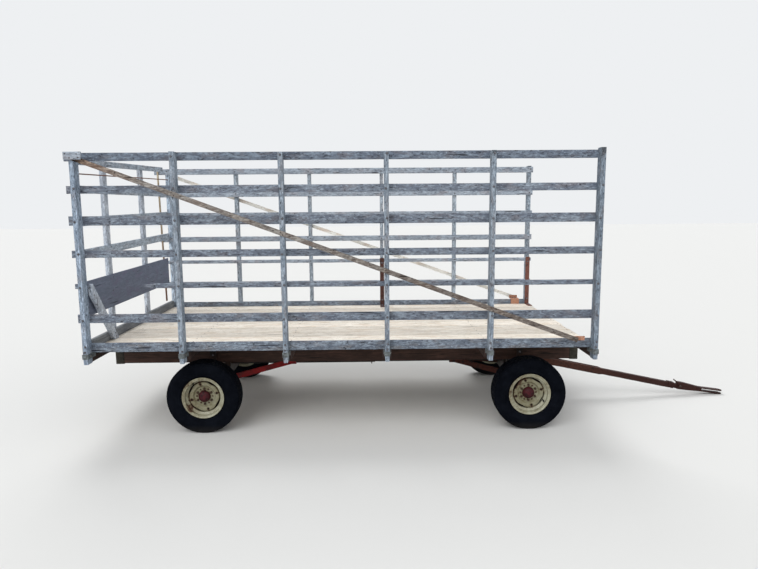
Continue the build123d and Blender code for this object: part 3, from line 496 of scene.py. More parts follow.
# It is rusty brown up at the rear corner, and its front half is darker
fade(brace_right_wood, 0, -1.9, 0.2, unchanged, (0.66, 0.62, 0.60))
fade(brace_right_wood, 0, -3.25, -2.75, (0.98, 0.74, 0.60), unchanged)
brace_left_wood = timber(
    "softwood_lath_cream_paint", ("#fffdf6", "#f6f3ea", "#cbc4b6", "#7c6c5b", "#dcc3b0"), 0, 0.46, chips=0.5,
)
wear("brace_right", brace_right_wood, "brace_grey", edge=0.002, level=1.0)
wear("brace_left", brace_left_wood, "brace_pale", edge=0.002, level=1.0)

# Corner lath: a thin stick of bare wood tied up the left rear corner, tan at the top and stained
# brown lower down. It is drawn a little thicker than its node, and moved into the corner.
lath_wood = timber(
    "thin_lath_tan_weathered", ("#c2b49b", "#9b8b73", "#66523f", "#33271f"), 2, 0.5, chips=0.5, knots=0.0,
)
fade(lath_wood, 2, 1.45, 2.1, (0.44, 0.29, 0.27), unchanged)
wear("corner_lath", lath_wood, "rack_wood", edge=0.002, wobble=0.0)
edit_all()
bpy.ops.transform.shrink_fatten(value=0.0035)
bpy.ops.transform.translate(value=(0.004, -0.004, 0))
mode("OBJECT")


# Splinters: the fifth slat of the right side was torn off behind the second post, and its end has
# frayed into spikes of paler wood.
def shape_splinter(name, long, wide):
    """A spike of torn wood along +Z, drawn out of a stub in four steps, each thinner and askew."""
    step = long * 0.2
    start_master(name, 5, wide, step)
    spike = finish_master()
    for number, (thinner, aside) in enumerate(((0.85, 0.3), (0.75, -0.5), (0.6, 0.7), (0.3, -0.4))):
        top = step * (number + 1)
        pick("FACE", lambda face: face.normal.z > 0.8 and abs(face.center.z - top) < long * 0.02)
        aslant = (wide * aside, wide * aside * 0.4, step)
        bpy.ops.mesh.extrude_region_move(TRANSFORM_OT_translate={"value": aslant})
        bpy.ops.transform.resize(value=(thinner, thinner, 1.0), center_override=(0, 0, top + step))
        mode("OBJECT")
    spike.scale = (1.0, 0.55, 1.0)
    return finish_master()


torn_wood = timber(
    "softwood_torn_and_greyed", ("#a6aeba", "#868d99", "#5f626b", "#33343a", "#8d868a"), 0, 0.5,
    knots=0.0, chips=0.6,
)
long_splinter = shape_splinter("long_splinter", 0.104, 0.0062)
short_splinter = shape_splinter("short_splinter", 0.066, 0.0050)
torn_x = rear_x + 0.684 + 0.014
# The place of each spike's root, how far it leans aside and up, and its turn
for name, splinter, spikes in (
    ("long_splinters", long_splinter, (
        (-0.020, -1.222, 1.5070, 0.05, -0.02, 0.0), (-0.002, -1.208, 1.5120, -0.06, 0.06, 1.2),
        (-0.034, -1.214, 1.5265, 0.04, 0.04, 2.0), (-0.028, -1.226, 1.5235, 0.02, -0.08, 0.6),
        (-0.012, -1.203, 1.5330, -0.03, 0.03, 2.7),
    )),
    ("short_splinters", short_splinter, (
        (0.010, -1.216, 1.5030, 0.10, 0.10, 0.3), (0.002, -1.206, 1.5190, 0.08, -0.12, 1.9),
        (-0.004, -1.225, 1.5370, -0.02, 0.02, 2.4), (0.012, -1.212, 1.5410, 0.03, 0.08, 0.9),
        (-0.030, -1.220, 1.5300, -0.10, 0.10, 1.4),
    )),
):
    places = [((torn_x + x, y, z), (-1.0, aside, lift), turn) for x, y, z, aside, lift, turn in spikes]
    set_out(name, splinter, places, torn_wood)


# Rack bolts: one steel carriage bolt at each crossing of post and slat, with its round head inside
# and a washer and nut on the post's outer face. All were whitewashed over and rust through it.
def shape_nut(name, across, high, washer=0.0):
    """A hexagon nut on its washer, with the bolt's end standing out of it, pointing up +Z."""
    base = 0.0025 if washer else 0.0005
    start_master(name, 16, washer or across / 2, base)
    mode("EDIT")
    bpy.ops.mesh.bevel(offset=base * 0.3, segments=1)
    stand(6, across / 2 / math.cos(math.pi / 6), high, base)
    bpy.ops.mesh.bevel(offset=across * 0.07, segments=1)
    stand(10, across * 0.27, high * 1.5, base)
    bpy.ops.mesh.bevel(offset=across * 0.05, segments=1)
    return finish_master()


def shape_round_head(name, radius, high):
    """The domed head of a carriage bolt: a disc drawn up and in, three times."""
    head = start_master(name, 14, radius, high * 0.3)
    for inward, upward in ((0.22, 0.32), (0.26, 0.24), (0.25, 0.12)):
        pick_top(head)
        bpy.ops.mesh.inset(thickness=radius * inward, depth=high * upward)
        mode("OBJECT")
    return finish_master(smooth=50)


bolt_rust = rusty(
    "carriage_bolts_rusting_under_whitewash", ("#7d828c", "#68676c", "#45403f"), coarse=0.010, metal=0.1,
)
rack_nut = shape_nut("rack_nut", 0.014, 0.006, washer=0.0115)
rack_head = shape_round_head("rack_head", 0.0095, 0.005)
slat_mid, board_bolts = (2.720, 2.423, 2.137, 1.8265, 1.5225, 1.211), (0.906, 0.958)
post_face, board_face = 1.309, 1.195
nuts, heads = [], []
for side in (-1, 1):
    for row, x in enumerate(post_x):
        for number, z in enumerate(slat_mid):
            shift = 0.009 * math.sin(5.1 * row + 2.7 * number + side)
            spot_x, spot_z = x + shift * 0.7, z + shift
            # The cleat covers the nut at the rear end of the top slat
            if not (row == 0 and number == 0):
                nuts.append(((spot_x, side * post_face, spot_z), (0, side, 0), 0.7 * number + row))
            heads.append(((spot_x, side * board_face, spot_z), (0, -side, 0), 0.0))
        for z in board_bolts:
            wander = 0.006 * math.sin(9 * x + 40 * z)
            nuts.append(((x + wander, side * post_face, z), (0, side, 0), row + z))
set_out("rack_nuts", rack_nut, nuts, bolt_rust)
set_out("rack_bolt_heads", rack_head, heads, bolt_rust)

# Nails of the rack: wire nails, driven through the laths and cleats into the posts, and through the
# rear rails and panel into the uprights. Their flat heads have rusted dark.
rack_nail = shape_nail("rack_nail", 0.0065, 0.0015)
lath_face, rack_long, upright_deep = 1.3268, 4.877, 0.038
upright_y, upright_nails = (-0.591, 0.392), (0.836, 0.872, 0.935)
cleat_nails = ((-0.02, 2.742), (0.02, 2.704), (0.085, 2.738), (0.098, 2.706))
kick_brace_nails = ((-1.160, 1.432), (-1.130, 1.398), (-0.758, 0.978), (-0.736, 0.940))
lath_rear, lath_front = rear_x + 0.018, rear_x + rack_long - 0.2025
places = []
for side, top, foot in ((-1, 2.712, 0.980), (1, 2.685, 0.995)):
    fall = (foot - top) / (lath_front - lath_rear)
    spots = []
    for x in post_x[1:-1]:
        z = top + fall * (x - lath_rear)
        spots += [(x - 0.010, z + 0.012), (x + 0.009, z - 0.013)]
    spots += [(rear_x + x, z) for x, z in cleat_nails]
    spots.append((rear_x + rack_long - 0.25, 0.998))
    places += [((x, side * lath_face, z), (0, side, 0), 0) for x, z in spots]
# Each board across the rear: its top at the right and at the left, height, thickness and left end
for right, left, high, thick, end in (
    (2.712, 2.772, 0.060, 0.022, 1.069), (2.465, 2.465, 0.070, 0.022, 1.195),
    (2.171, 2.198, 0.085, 0.022, 1.195), (1.867, 1.914, 0.085, 0.022, 1.195),
    (1.563, 1.589, 0.338, 0.015, 1.120),
):
    for y in (*upright_y, -1.17, end - 0.03):
        top = right + (left - right) * (y + board_face) / (end + board_face)
        for part in ((0.25, 0.75) if high < 0.2 else (0.1, 0.5, 0.9)):
            spot = (rear_x + thick, y + 0.018 * math.cos(9 * part + y), top - high * part)
            places.append((spot, (1, 0, 0), 0))
for y in upright_y:
    for z in upright_nails:
        places.append(((rear_x - upright_deep, y + 0.02 * math.sin(60 * z), z), (-1, 0, 0), 0))
for y, z in kick_brace_nails:
    places.append(((rear_x + 2 * upright_deep, y, z), (1, 0, 0), 0))
set_out("rack_nails", rack_nail, places, nail_iron)

# Iron of the rack: strips of flat bar in old grey paint, bent round the feet of the posts, and the
# feet of the braces, the stake irons and the tie rod, rusted orange to brown. Zinc-plated carriage
# bolts hold the straps and the headers.
strap_iron = rusty("flat_iron_straps_old_paint", ("#7d8486", "#636a6c", "#4b4845"), coarse=0.03, metal=0.2)
foot_iron = rusty("bent_iron_feet_rusted", ("#a4745c", "#bb8b72", "#7c4f3d"), coarse=0.04, metal=0.1)
rod_iron = rusty("thin_rod_rusted_brown", ("#5c3a2c", "#744c39", "#402a21"), coarse=0.05)
stake_iron = rusty("angle_iron_rusted_brown", ("#5b3a31", "#7d4e42", "#402a26"), coarse=0.05)
# The iron at mid length is older, and rusted nearly black
fade(stake_iron, 0, 0.0, 1.0, (0.42, 0.40, 0.42), unchanged)


def dress(material, *nodes):
    """Gives CAD nodes a material on their own slots."""
    for name in nodes:
        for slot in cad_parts[name].material_slots:
            slot.material = material


dress(strap_iron, "post_straps")
dress(foot_iron, "brace_feet")
dress(rod_iron, "rear_tie_rod")
dress(stake_iron, "stake_irons")
bolt_zinc = rusty("bolts_dull_zinc", ("#77736e", "#928f8a", "#5c544d"), coarse=0.02, gloss=0.55, metal=0.7)
strap_head = shape_round_head("strap_head", 0.0105, 0.005)
strap_nut = shape_nut("strap_nut", 0.014, 0.005, washer=0.0105)
strap_y, strap_z, ear = 1.263, 0.861, 0.028
heads, nuts = [], []
for side in (-1, 1):
    for x in post_x:
        heads.append(((x - ear, side * strap_y, strap_z), (-1, 0, 0), 0.0))
        nuts.append(((x + ear, side * strap_y, strap_z), (1, 0, 0), x))
header_rear, header_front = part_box("sill_headers")
for y, z in ((-0.565, 0.745), (-0.545, 0.655), (0.545, 0.655), (0.565, 0.745)):
    heads += [((header_rear.x, y, z), (-1, 0, 0), 0), ((header_front.x, y, z), (1, 0, 0), 0)]
set_out("strap_bolt_heads", strap_head, heads, bolt_zinc)
set_out("strap_nuts", strap_nut, nuts, bolt_zinc)

# Nuts of the irons: three up the leg and two along the foot of each stake iron, two on each brace
# foot, and two through each side of each bolster's stake.
iron_low, iron_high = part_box("stake_irons")
foot_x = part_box("brace_feet")[0].x
bolster_low, bolster_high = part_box("bolsters")
leg_mid = 0.0275
places = []
for x in (iron_low.x + leg_mid, iron_high.x - leg_mid):
    places += [((x, 1.187, z), (0, -1, 0), x + z) for z in (1.49, 1.22, 0.985)]
    places += [((x, y, 0.919), (0, 0, 1), x + y) for y in (1.135, 1.045)]
for side in (-1, 1):
    places += [((foot_x + x, side * 1.255, 0.981), (0, 0, 1), x) for x in (0.035, 0.075)]
    for x in (bolster_low.x + 0.05, bolster_high.x - 0.05):
        places.append(((x, side * 0.612, 0.692), (0, side, 0), x))
set_out("iron_nuts", rack_nut, places, bolt_rust)

# Running gear: welded box and flat steel with worn dark paint over primer; the rear hounds were
# repainted bright red, and the front ones are maroon.
gear_paint = rusty(
    "steel_worn_dark_paint", ("#221d1b", "#302926", "#3f2d25"), coarse=0.09, gloss=0.6, metal=0.2,
)
red_paint = rusty("steel_red_enamel", ("#a11213", "#870d10", "#5c0b0e"), coarse=0.12, gloss=0.5, metal=0.0)
maroon_paint = rusty(
    "steel_maroon_paint_rusting", ("#37170f", "#4b2319", "#1e0f0d"), coarse=0.06, gloss=0.7, metal=0.1,
)
dress(gear_paint, "bolsters", "axle_stands", "reach_tube", "reach_pole", "rear_axle", "front_axle",
      "knuckle_right", "knuckle_left", "tie_rod_right", "tie_rod_left", "steering_yoke")
dress(red_paint, "rear_hounds")
dress(maroon_paint, "front_hounds")
dress(bolt_zinc, "king_bolt", "reach_pin")


# Tongue: box steel with flat side bars, rusted red-brown where it is dry and nearly black towards
# the hitch, pitted and a little bent. Short runs of weld hold the side bars to the tube.
hinge_x, hinge_z, tongue_fall = 1.27822, 0.462, math.radians(12.061)


def place_on_tongue(along, side, up):
    """A place on the tongue, by its distances along, beside and above the line through the hinge."""
    return Vector((hinge_x + along * math.cos(tongue_fall) + up * math.sin(tongue_fall), side,
                   hinge_z - along * math.sin(tongue_fall) + up * math.cos(tongue_fall)))


def draw_line(name, points):
    """A chain of edges through the points, extruded from a single corner. It stays in edit mode."""
    select_only()
    bpy.ops.mesh.primitive_circle_add(vertices=3, radius=0.001, location=points[0])
    line = bpy.context.object
    line.name = line.data.name = name
    apply_place()
    pick("VERT", lambda corner: corner.index > 0)
    bpy.ops.mesh.delete(type="VERT")
    edit_all()
    mode("OBJECT")
    now = line.data.vertices[0].co.copy()
    mode("EDIT")
    bpy.ops.transform.translate(value=Vector(points[0]) - now)
    for first, second in zip(points, points[1:]):
        bpy.ops.mesh.extrude_region_move(TRANSFORM_OT_translate={"value": Vector(second) - Vector(first)})
    return line


tongue_iron = rusty("box_steel_rusted_red_brown", ("#43291f", "#5f3a2d", "#2a1b17"), coarse=0.03, metal=0.1)
fade(tongue_iron, 0, 1.4, 2.3, unchanged, (0.36, 0.32, 0.38))
for node in ("tongue_tube", "tongue_side_bars", "hitch_bar"):
    wear(node, tongue_iron, "tongue_rust", edge=0.002, wobble=0.003, pitch=0.06, body="tongue")
# Of the latch the saddle stays, cut off level with the tube's top
wear("tongue_latch", tongue_iron, "tongue_rust", edge=0.001, wobble=0, pitch=0, body="tongue")
up = place_on_tongue(0, 0, 1) - place_on_tongue(0, 0, 0)
edit_all()
bpy.ops.mesh.bisect(plane_co=place_on_tongue(1.65, 0, 0.0382), plane_no=up, use_fill=True, clear_outer=True)
mode("OBJECT")
# The latch's handle: a bent flat bar on the right side of the hitch's head, over the tube's end
handle = draw_line("latch_handle", [place_on_tongue(along, -0.033, high) for along, high in (
    (1.746, 0.004), (1.760, 0.004), (1.768, 0.020), (1.735, 0.050), (1.700, 0.066), (1.662, 0.084),
    (1.655, 0.074), (1.692, 0.055), (1.722, 0.040), (1.742, 0.018),
)])
edit_all()
bpy.ops.mesh.edge_face_add()
bpy.ops.mesh.extrude_region_move(TRANSFORM_OT_translate={"value": (0, -0.008, 0)})
edit_all()
bpy.ops.mesh.normals_make_consistent(inside=False)
bpy.ops.mesh.bevel(offset=0.0012, segments=2)
mode("OBJECT")
bpy.ops.object.shade_smooth_by_angle(angle=math.radians(40))
finish_piece(handle, tongue_iron, "tongue")
weld_drop = shape_round_head("weld_drop", 0.0045, 0.003)
weld_step = 0.0065
stud_nut = shape_nut("stud_nut", 0.026, 0.014)
places = []
for side in (-1, 1):
    for start in (0.36, 0.54, 0.72):
        for step in range(9):
            spot = place_on_tongue(start + weld_step * step, side * 0.030, 0.0325)
            places.append((spot, up - Vector((0, side * 0.6, 0)), step))
set_out("tongue_welds", weld_drop, places, tongue_iron, "tongue")
places = [(place_on_tongue(1.756, -0.041, 0.014), (0, -1, 0), 0.3)]
set_out("handle_bolt", stud_nut, places, nail_iron, "tongue")

# Steering: nuts on the studs of the rods, a cap with its grease nipple on each kingpin, and a
# washer and a split pin at both ends of the hinge pin. The steel is rusted, the nipples are zinc.
kingpin_x, kingpin_y, arm_forward, arm_outward = 0.93322, 0.720, 0.160, 0.060
yoke_x = kingpin_x + 0.120
grease_cap = shape_round_head("grease_cap", 0.019, 0.010)
nipple = shape_round_head("nipple", 0.0045, 0.011)
washer = shape_nail("washer", 0.021, 0.003, sides=20)
split_pin = start_master("split_pin", 8, 0.0017, 0.034, base=-0.016)
mode("EDIT")
bpy.ops.mesh.bevel(offset=0.0004, segments=1)
for lean in (math.radians(-28), math.radians(28)):
    bpy.ops.mesh.primitive_cylinder_add(
        vertices=8, radius=0.0012, depth=0.014, rotation=(0, lean, 0),
        location=(-0.0065 * math.sin(lean), 0, -0.016 - 0.0055 * math.cos(lean)),
    )
    bpy.ops.mesh.bevel(offset=0.0004, segments=1)
bpy.ops.mesh.primitive_torus_add(
    major_radius=0.0042, minor_radius=0.0015, major_segments=14, minor_segments=6, location=(0, 0, 0.0215),
    rotation=(math.radians(90), 0, 0),
)
finish_master()
for side, name in ((-1, "right"), (1, "left")):
    stud = (kingpin_x + arm_forward, side * (kingpin_y + arm_outward), 0.3292)
    for piece, master, place, turn, metal in (
        ("stud_nut", stud_nut, stud, 0.4, nail_iron),
        ("grease_cap", grease_cap, (kingpin_x, side * kingpin_y, 0.445), 0, gear_paint),
        ("grease_nipple", nipple, (kingpin_x, side * kingpin_y, 0.4535), 0, bolt_zinc),
    ):
        set_out(f"{piece}_{name}", master, [(place, (0, 0, 1), turn)], metal, f"knuckle_{name}")
for name, master, x, y, z, aside, upward, turn in (
    ("yoke_nuts", stud_nut, yoke_x + arm_forward, arm_outward, 0.3028, 0, -1, 1),
    ("hinge_washers", washer, hinge_x, 0.0666, hinge_z, 1, 0, 0),
    ("split_pins", split_pin, hinge_x, 0.0716, hinge_z, 0, 1, 0),
):
    places = [((x, side * y, z), (0, side * aside, upward), side * turn) for side in (-1, 1)]
    set_out(name, master, places, nail_iron, "steering_yoke")

# Welds of the axle stands: a run of fillet weld along the foot and the head of each stand, on its
# front and its rear face, painted over with the gear.
stand_rear, stand_front, foot_z, head_z = -2.3918, -2.3018, 0.4100, 0.5280
places = []
for side in (-1, 1):
    for x, outward in ((stand_rear, -1), (stand_front, 1)):
        for z, upward in ((foot_z, 0.8), (head_z, -0.8)):
            for step in range(12):
                places.append(((x, side * (0.3840 + 0.0075 * step), z), (outward, 0, upward), step))
set_out("stand_welds", weld_drop, places, gear_paint)


# Tyres: rib-tread implement tyres of black rubber with a bluish bloom and dried mud at the foot,
# moulded with dimpled ribs, notched shoulders and a rubbing ring on each sidewall.
def turn_tyre(name, centre, side):
    """Draws half of the tyre's section as an edge, spins it round the axle and closes the ring. Each
    point of the section is (distance from the axle, distance from the tyre's middle)."""
    outline = (
        (0.3575, 0.0), (0.3575, 0.0065), (0.3635, 0.0080), (0.3640, 0.0160), (0.3640, 0.0510),
        (0.3570, 0.0530), (0.3570, 0.0590), (0.3632, 0.0610), (0.3620, 0.0845), (0.3565, 0.0930),
        (0.3490, 0.0975), (0.3360, 0.1010), (0.3260, 0.1048), (0.3190, 0.1078), (0.3120, 0.1074),
        (0.3050, 0.1090), (0.2880, 0.1098), (0.2690, 0.1078), (0.2520, 0.1015), (0.2390, 0.0950),
        (0.2345, 0.0945), (0.2300, 0.0912), (0.2215, 0.0840), (0.2155, 0.0765), (0.1960, 0.0757),
        (0.1915, 0.0735), (0.1908, 0.0),
    )
    tyre = draw_line(name, [centre + Vector((0, side * out, reach)) for reach, out in outline])
    edit_all()
    bpy.ops.mesh.spin(steps=tread_blocks, angle=2 * math.pi, center=centre, axis=(0, 1, 0))
    edit_all()
    bpy.ops.mesh.remove_doubles(threshold=0.00002)
    mode("OBJECT")
    return tyre


def cut_tread(centre):
    """Sinks a dimple into every other block of the active tyre's ribs, and a notch into every other
    shoulder."""
    for low, high, wall, deep, alone in (
        (0.016, 0.051, 0.0042, -0.0040, True), (0.086, 0.099, 0.0035, -0.0050, False),
    ):
        def on_block(face):
            out = abs(face.center.y - centre.y)
            reach = Vector((face.center.x - centre.x, face.center.z - centre.z))
            spoke = math.atan2(reach.y, reach.x) % (2 * math.pi)
            block = int(spoke / (2 * math.pi) * tread_blocks)
            return low < out < high and reach.length > 0.345 and block % 2 == 0

        pick("FACE", on_block)
        bpy.ops.mesh.inset(thickness=wall, depth=deep, use_individual=alone)
        mode("OBJECT")


rubber, tree, shader, where = new_material("moulded_tyre_rubber_dusty")
dust = add(tree, "ShaderNodeTexNoise", {"Scale": 9.0, "Detail": 8.0, "Roughness": 0.65}, {"Vector": where})
ramp = add(tree, "ShaderNodeValToRGB", {}, {0: dust.outputs[0]})
clean, dusty = ramp.color_ramp.elements
clean.position, clean.color = 0.38, linear("#05070d")
dusty.position, dusty.color = 0.72, linear("#10131a")
# Mud has dried on the lowest 90 mm
height = add(tree, "ShaderNodeSeparateXYZ", {}, {0: where})
mud = add(tree, "ShaderNodeMapRange", {1: 0.0, 2: 0.09, 3: 0.55, 4: 0.0}, {0: height.outputs["Z"]})
tone = add(tree, "ShaderNodeMix", {"data_type": "RGBA", 7: linear("#302e2b")},
           {0: mud.outputs[0], 6: ramp.outputs[0]})
tree.links.new(tone.outputs[2], shader.inputs["Base Color"])
grain = add(tree, "ShaderNodeTexNoise", {"Scale": 420.0, "Detail": 2.0}, {"Vector": where})
skin = add(tree, "ShaderNodeBump", {"Strength": 0.15, "Distance": 0.001}, {"Height": grain.outputs[0]})
tree.links.new(skin.outputs[0], shader.inputs["Normal"])
shader.inputs["Roughness"].default_value = 0.75
shader.inputs["Specular IOR Level"].default_value = 0.03
tread_blocks = 96
wheel_centre = {}
for wheel in ("rear_right", "rear_left", "front_right", "front_left"):
    low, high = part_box(f"tyre_{wheel}")
    centre = wheel_centre[wheel] = (low + high) / 2
    halves = [turn_tyre(f"half_{wheel}_{side}", centre, side) for side in (-1, 1)]
    tyre = join(f"tyre_moulded_{wheel}", halves)
    edit_all()
    bpy.ops.mesh.remove_doubles(threshold=0.00002)
    bpy.ops.mesh.normals_make_consistent(inside=False)
    mode("OBJECT")
    cut_tread(centre)
    bpy.ops.object.shade_smooth_by_angle(angle=math.radians(28))
    finish_piece(tyre, rubber, f"wheel_{wheel}", f"tyre_{wheel}")


# Wheels: pressed steel discs and rims in ivory enamel, rusty at the disc's edge, round the nuts
# and the hand holes, and where the rim holds water. A rubber valve stands in each rim.
stud_ring, hand_hole_ring, disc_face = 0.079, 0.131, 0.018


def enamel_wheel(name, centre, rusted):
    """Ivory enamel stained yellow-brown by dirt, rust that starts at edges and holes, and painted shade in
    hollows.
    rusted is the one place that rust has eaten most: its turn, ring, width and height."""
    made, tree, shader, where = new_material(name)
    onto_wheel = {"Location": (-centre.x, 0.0, -centre.z), "Scale": (1.0, 0.0, 1.0)}
    local = add(tree, "ShaderNodeMapping", onto_wheel, {"Vector": where})
    reach = add(tree, "ShaderNodeVectorMath", {"operation": "LENGTH"}, {0: local.outputs[0]}).outputs["Value"]
    axes = add(tree, "ShaderNodeSeparateXYZ", {}, {0: local.outputs[0]}).outputs
    spoke = add(tree, "ShaderNodeMath", {"operation": "ARCTAN2"}, {0: axes["Z"], 1: axes["X"]}).outputs[0]

    def round_holes(count, first, ring, wide, tall):
        """1 at each of count places on a ring, fading to 0 as wide round it and as tall along the spoke."""
        turn = add(tree, "ShaderNodeMath", {"operation": "SUBTRACT", 1: math.radians(first)}, {0: spoke})
        turn = add(tree, "ShaderNodeMath", {"operation": "WRAP", 1: math.pi / count, 2: -math.pi / count},
                   {0: turn.outputs[0]})
        turn = add(tree, "ShaderNodeMath", {"operation": "MULTIPLY", 1: ring / wide}, {0: turn.outputs[0]})
        out = add(tree, "ShaderNodeMath", {"operation": "MULTIPLY_ADD", 1: 1 / tall, 2: -ring / tall},
                  {0: reach})
        away = add(tree, "ShaderNodeCombineXYZ", {}, {0: turn.outputs[0], 1: out.outputs[0]})
        away = add(tree, "ShaderNodeVectorMath", {"operation": "LENGTH"}, {0: away.outputs[0]})
        near = add(tree, "ShaderNodeMapRange", {1: 0.35, 2: 1.0, 3: 1.0, 4: 0.0}, {0: away.outputs["Value"]})
        return near.outputs[0]

    # How much dirt lies at each distance from the axle: by the hub, at the disc's edge, on the rim. The
    # band at 0.151 to 0.158 m is painted shade of the gap between the disc's edge and the rim's well
    dirt_and_gap_shade_rings = add(tree, "ShaderNodeValToRGB", {}, {0: reach})
    hub, lip = dirt_and_gap_shade_rings.color_ramp.elements
    hub.position, hub.color = 0.060, (0.30, 0.30, 0.30, 1)
    lip.position, lip.color = 0.211, (0.16, 0.16, 0.16, 1)
    for at, value in (
        (0.070, 0.16), (0.120, 0.12), (0.146, 0.12), (0.151, 0.34), (0.158, 0.34), (0.163, 0.08),
        (0.186, 0.04), (0.191, 0.20), (0.199, 0.06),
    ):
        dirt_and_gap_shade_rings.color_ramp.elements.new(at).color = (value, value, value, 1)
    patch = add(tree, "ShaderNodeTexNoise", {"Scale": 8.5, "Detail": 3.0, "Roughness": 0.6},
                {"Vector": where})
    blotch = add(tree, "ShaderNodeTexNoise", {"Scale": 34.0, "Detail": 8.0, "Roughness": 0.72},
                 {"Vector": where})
    eaten = add(tree, "ShaderNodeMath", {"operation": "MULTIPLY"},
                {0: round_holes(1, *rusted), 1: blotch.outputs[0]})
    # More dirt has dried on the upper and the rear side of each wheel
    amount = dirt_and_gap_shade_rings.outputs[0]
    for value, weight in (
        (eaten.outputs[0], 0.62), (round_holes(4, 15, hand_hole_ring, 0.020, 0.020), 0.42),
        (round_holes(4, 15, 0.146, 0.011, 0.030), 0.22), (round_holes(12, 0, stud_ring, 0.013, 0.013), 0.36),
        (patch.outputs[0], 0.55), (blotch.outputs[0], 0.75), (axes["X"], -0.55), (axes["Z"], 0.35),
    ):
        more = add(tree, "ShaderNodeMath", {"operation": "MULTIPLY_ADD", 1: weight}, {0: value, 2: amount})
        amount = more.outputs[0]
    # The stain and the rust follow this amount, and so carry the painted gap shade as well as the dirt
    stain = add(tree, "ShaderNodeMapRange", {1: 0.58, 2: 0.98, 3: 0.0, 4: 0.85}, {0: amount})
    rust = add(tree, "ShaderNodeMapRange", {1: 0.92, 2: 1.05}, {0: amount})
    # Oil and dust, and painted shade over the recessed disc, make the disc's enamel darker and more olive
    # than the rim's
    disc_dust_and_shade = add(tree, "ShaderNodeMapRange", {1: 0.150, 2: 0.156, 3: 0.36, 4: 0.0}, {0: reach})
    paint = add(tree, "ShaderNodeMix", {"data_type": "RGBA", 6: linear("#abaa96"), 7: linear("#918f78")},
                {0: patch.outputs[0]})
    iron = add(tree, "ShaderNodeMix", {"data_type": "RGBA", 6: linear("#5b3a20"), 7: linear("#241a14")},
               {0: blotch.outputs[0]})
    tone = add(tree, "ShaderNodeMix", {"data_type": "RGBA", 7: linear("#665a3d")},
               {0: stain.outputs[0], 6: paint.outputs[2]})
    tone = add(tree, "ShaderNodeMix", {"data_type": "RGBA", 7: linear("#5d5835")},
               {0: disc_dust_and_shade.outputs[0], 6: tone.outputs[2]})
    tone = add(tree, "ShaderNodeMix", {"data_type": "RGBA"},
               {0: rust.outputs[0], 6: tone.outputs[2], 7: iron.outputs[2]})
    # Painted shade: the walls and edges of the hand holes are painted near black
    tone = add(tree, "ShaderNodeMix", {"data_type": "RGBA", 7: linear("#130e0a")},
               {0: round_holes(4, 15, hand_hole_ring, 0.015, 0.015), 6: tone.outputs[2]})
    tree.links.new(tone.outputs[2], shader.inputs["Base Color"])
    shine = add(tree, "ShaderNodeMapRange", {3: 0.42, 4: 0.85}, {0: rust.outputs[0]})
    tree.links.new(shine.outputs[0], shader.inputs["Roughness"])
    skin = add(tree, "ShaderNodeBump", {"Strength": 0.3, "Distance": 0.002}, {"Height": rust.outputs[0]})
    tree.links.new(skin.outputs[0], shader.inputs["Normal"])
    return made


def shape_valve(name):
    """A rubber valve, drawn up ring by ring: its button, neck, sleeve and screwed cap."""
    valve = start_master(name, 14, 0.0095, 0.003)
    for inward, upward in ((0.0027, 0.023), (0.0012, 0.011), (-0.0007, 0.009), (0.0022, 0.002)):
        pick_top(valve)
        bpy.ops.mesh.inset(thickness=abs(inward), depth=0, use_outset=inward < 0)
        bpy.ops.mesh.extrude_region_move(TRANSFORM_OT_translate={"value": (0, 0, upward)})
        mode("OBJECT")
    return finish_master(smooth=40)


def shade_behind_slots(name, centre):
    """Painted shade behind the slots between disc and rim: a dark ring pressed flat, with a lumpy face."""
    select_only()
    bpy.ops.mesh.primitive_torus_add(
        major_radius=0.1390, minor_radius=0.0265, major_segments=72, minor_segments=12,
        location=centre, rotation=(math.radians(90), 0, 0),
    )
    ring = bpy.context.object
    ring.name = ring.data.name = name
    ring.scale.z = 0.09
    apply_place()
    roughen(ring, 0.012, 2, 0.003, 0.8)
    bpy.ops.object.shade_smooth()
    return ring


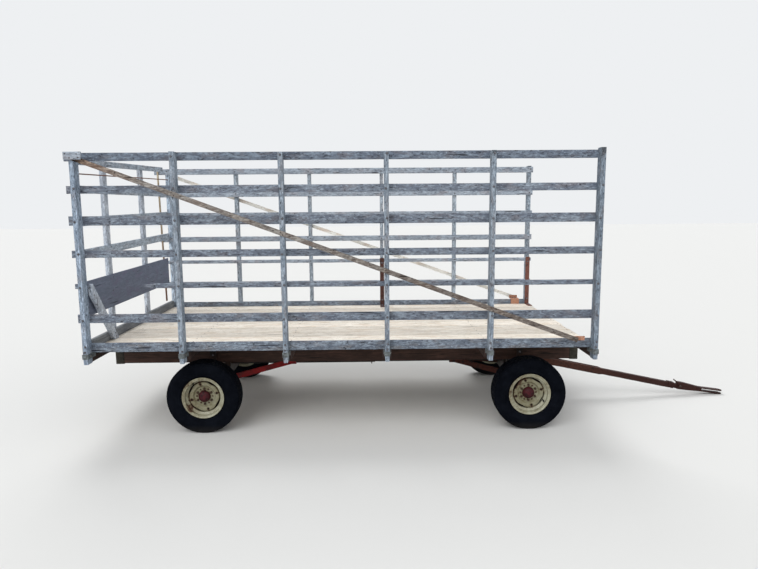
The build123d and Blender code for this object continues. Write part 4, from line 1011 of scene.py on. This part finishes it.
# Painted shade: a near-black ring behind the slots of each wheel, so that the slots look dark
slot_shade_paint = rusty(
    "painted_shade_behind_wheel_slots", ("#17110c", "#261b12", "#0e0b09"), coarse=0.02, gloss=0.95, metal=0.0,
)
hub_paint = rusty(
    "cast_hub_maroon_enamel", ("#4b161c", "#3a1117", "#1d0a0c"), coarse=0.03, gloss=0.7, metal=0.0,
)
nut_iron = rusty("wheel_nuts_rusted_black", ("#33271f", "#4a3626", "#221c18"), coarse=0.012)
wheel_nut = shape_nut("wheel_nut", 0.022, 0.015)
hub_bolt = shape_round_head("hub_bolt", 0.0075, 0.005)
valve = shape_valve("valve")
# Each wheel's most rusted place, and the turn of its valve
for wheel, rusted, valve_turn in (
    ("rear_right", (220, 0.180, 0.070, 0.030), 125), ("rear_left", (70, 0.160, 0.050, 0.022), 20),
    ("front_right", (136, 0.153, 0.095, 0.026), -31), ("front_left", (300, 0.175, 0.040, 0.024), 200),
):
    body, centre = f"wheel_{wheel}", wheel_centre[wheel]
    side = 1 if centre.y > 0 else -1
    dress(enamel_wheel(f"pressed_steel_ivory_enamel_{wheel}", centre, rusted), f"rim_{wheel}")
    dress(hub_paint, f"hub_{wheel}")
    for name, master, first in (("wheel_nuts", wheel_nut, 30), ("hub_bolts", hub_bolt, 0)):
        places = []
        for number in range(6):
            angle = math.radians(first + 60 * number)
            spot = Vector((stud_ring * math.cos(angle), side * disc_face, stud_ring * math.sin(angle)))
            places.append((centre + spot, (0, side, 0), angle))
        set_out(f"{name}_{wheel}", master, places, nut_iron, body)
    # A dark ring of painted shade behind each wheel's slots
    finish_piece(shade_behind_slots(f"caked_dirt_{wheel}", centre), slot_shade_paint, body)
    # The valve stands on the slope between the rim's well and its seat, and leans to the hub
    angle = math.radians(valve_turn)
    spoke = Vector((math.cos(angle), 0, math.sin(angle)))
    round_way = Vector((-math.sin(angle), 0, math.cos(angle)))
    spot = centre + spoke * 0.1830 + Vector((0, side * 0.0396, 0))
    lean = Vector((0, side * 0.56, 0)) - spoke * 0.74 + round_way * 0.36
    set_out(f"valve_{wheel}", valve, [(spot, lean, 0.0)], rubber, body)

for master in masters:
    bpy.data.objects.remove(master)
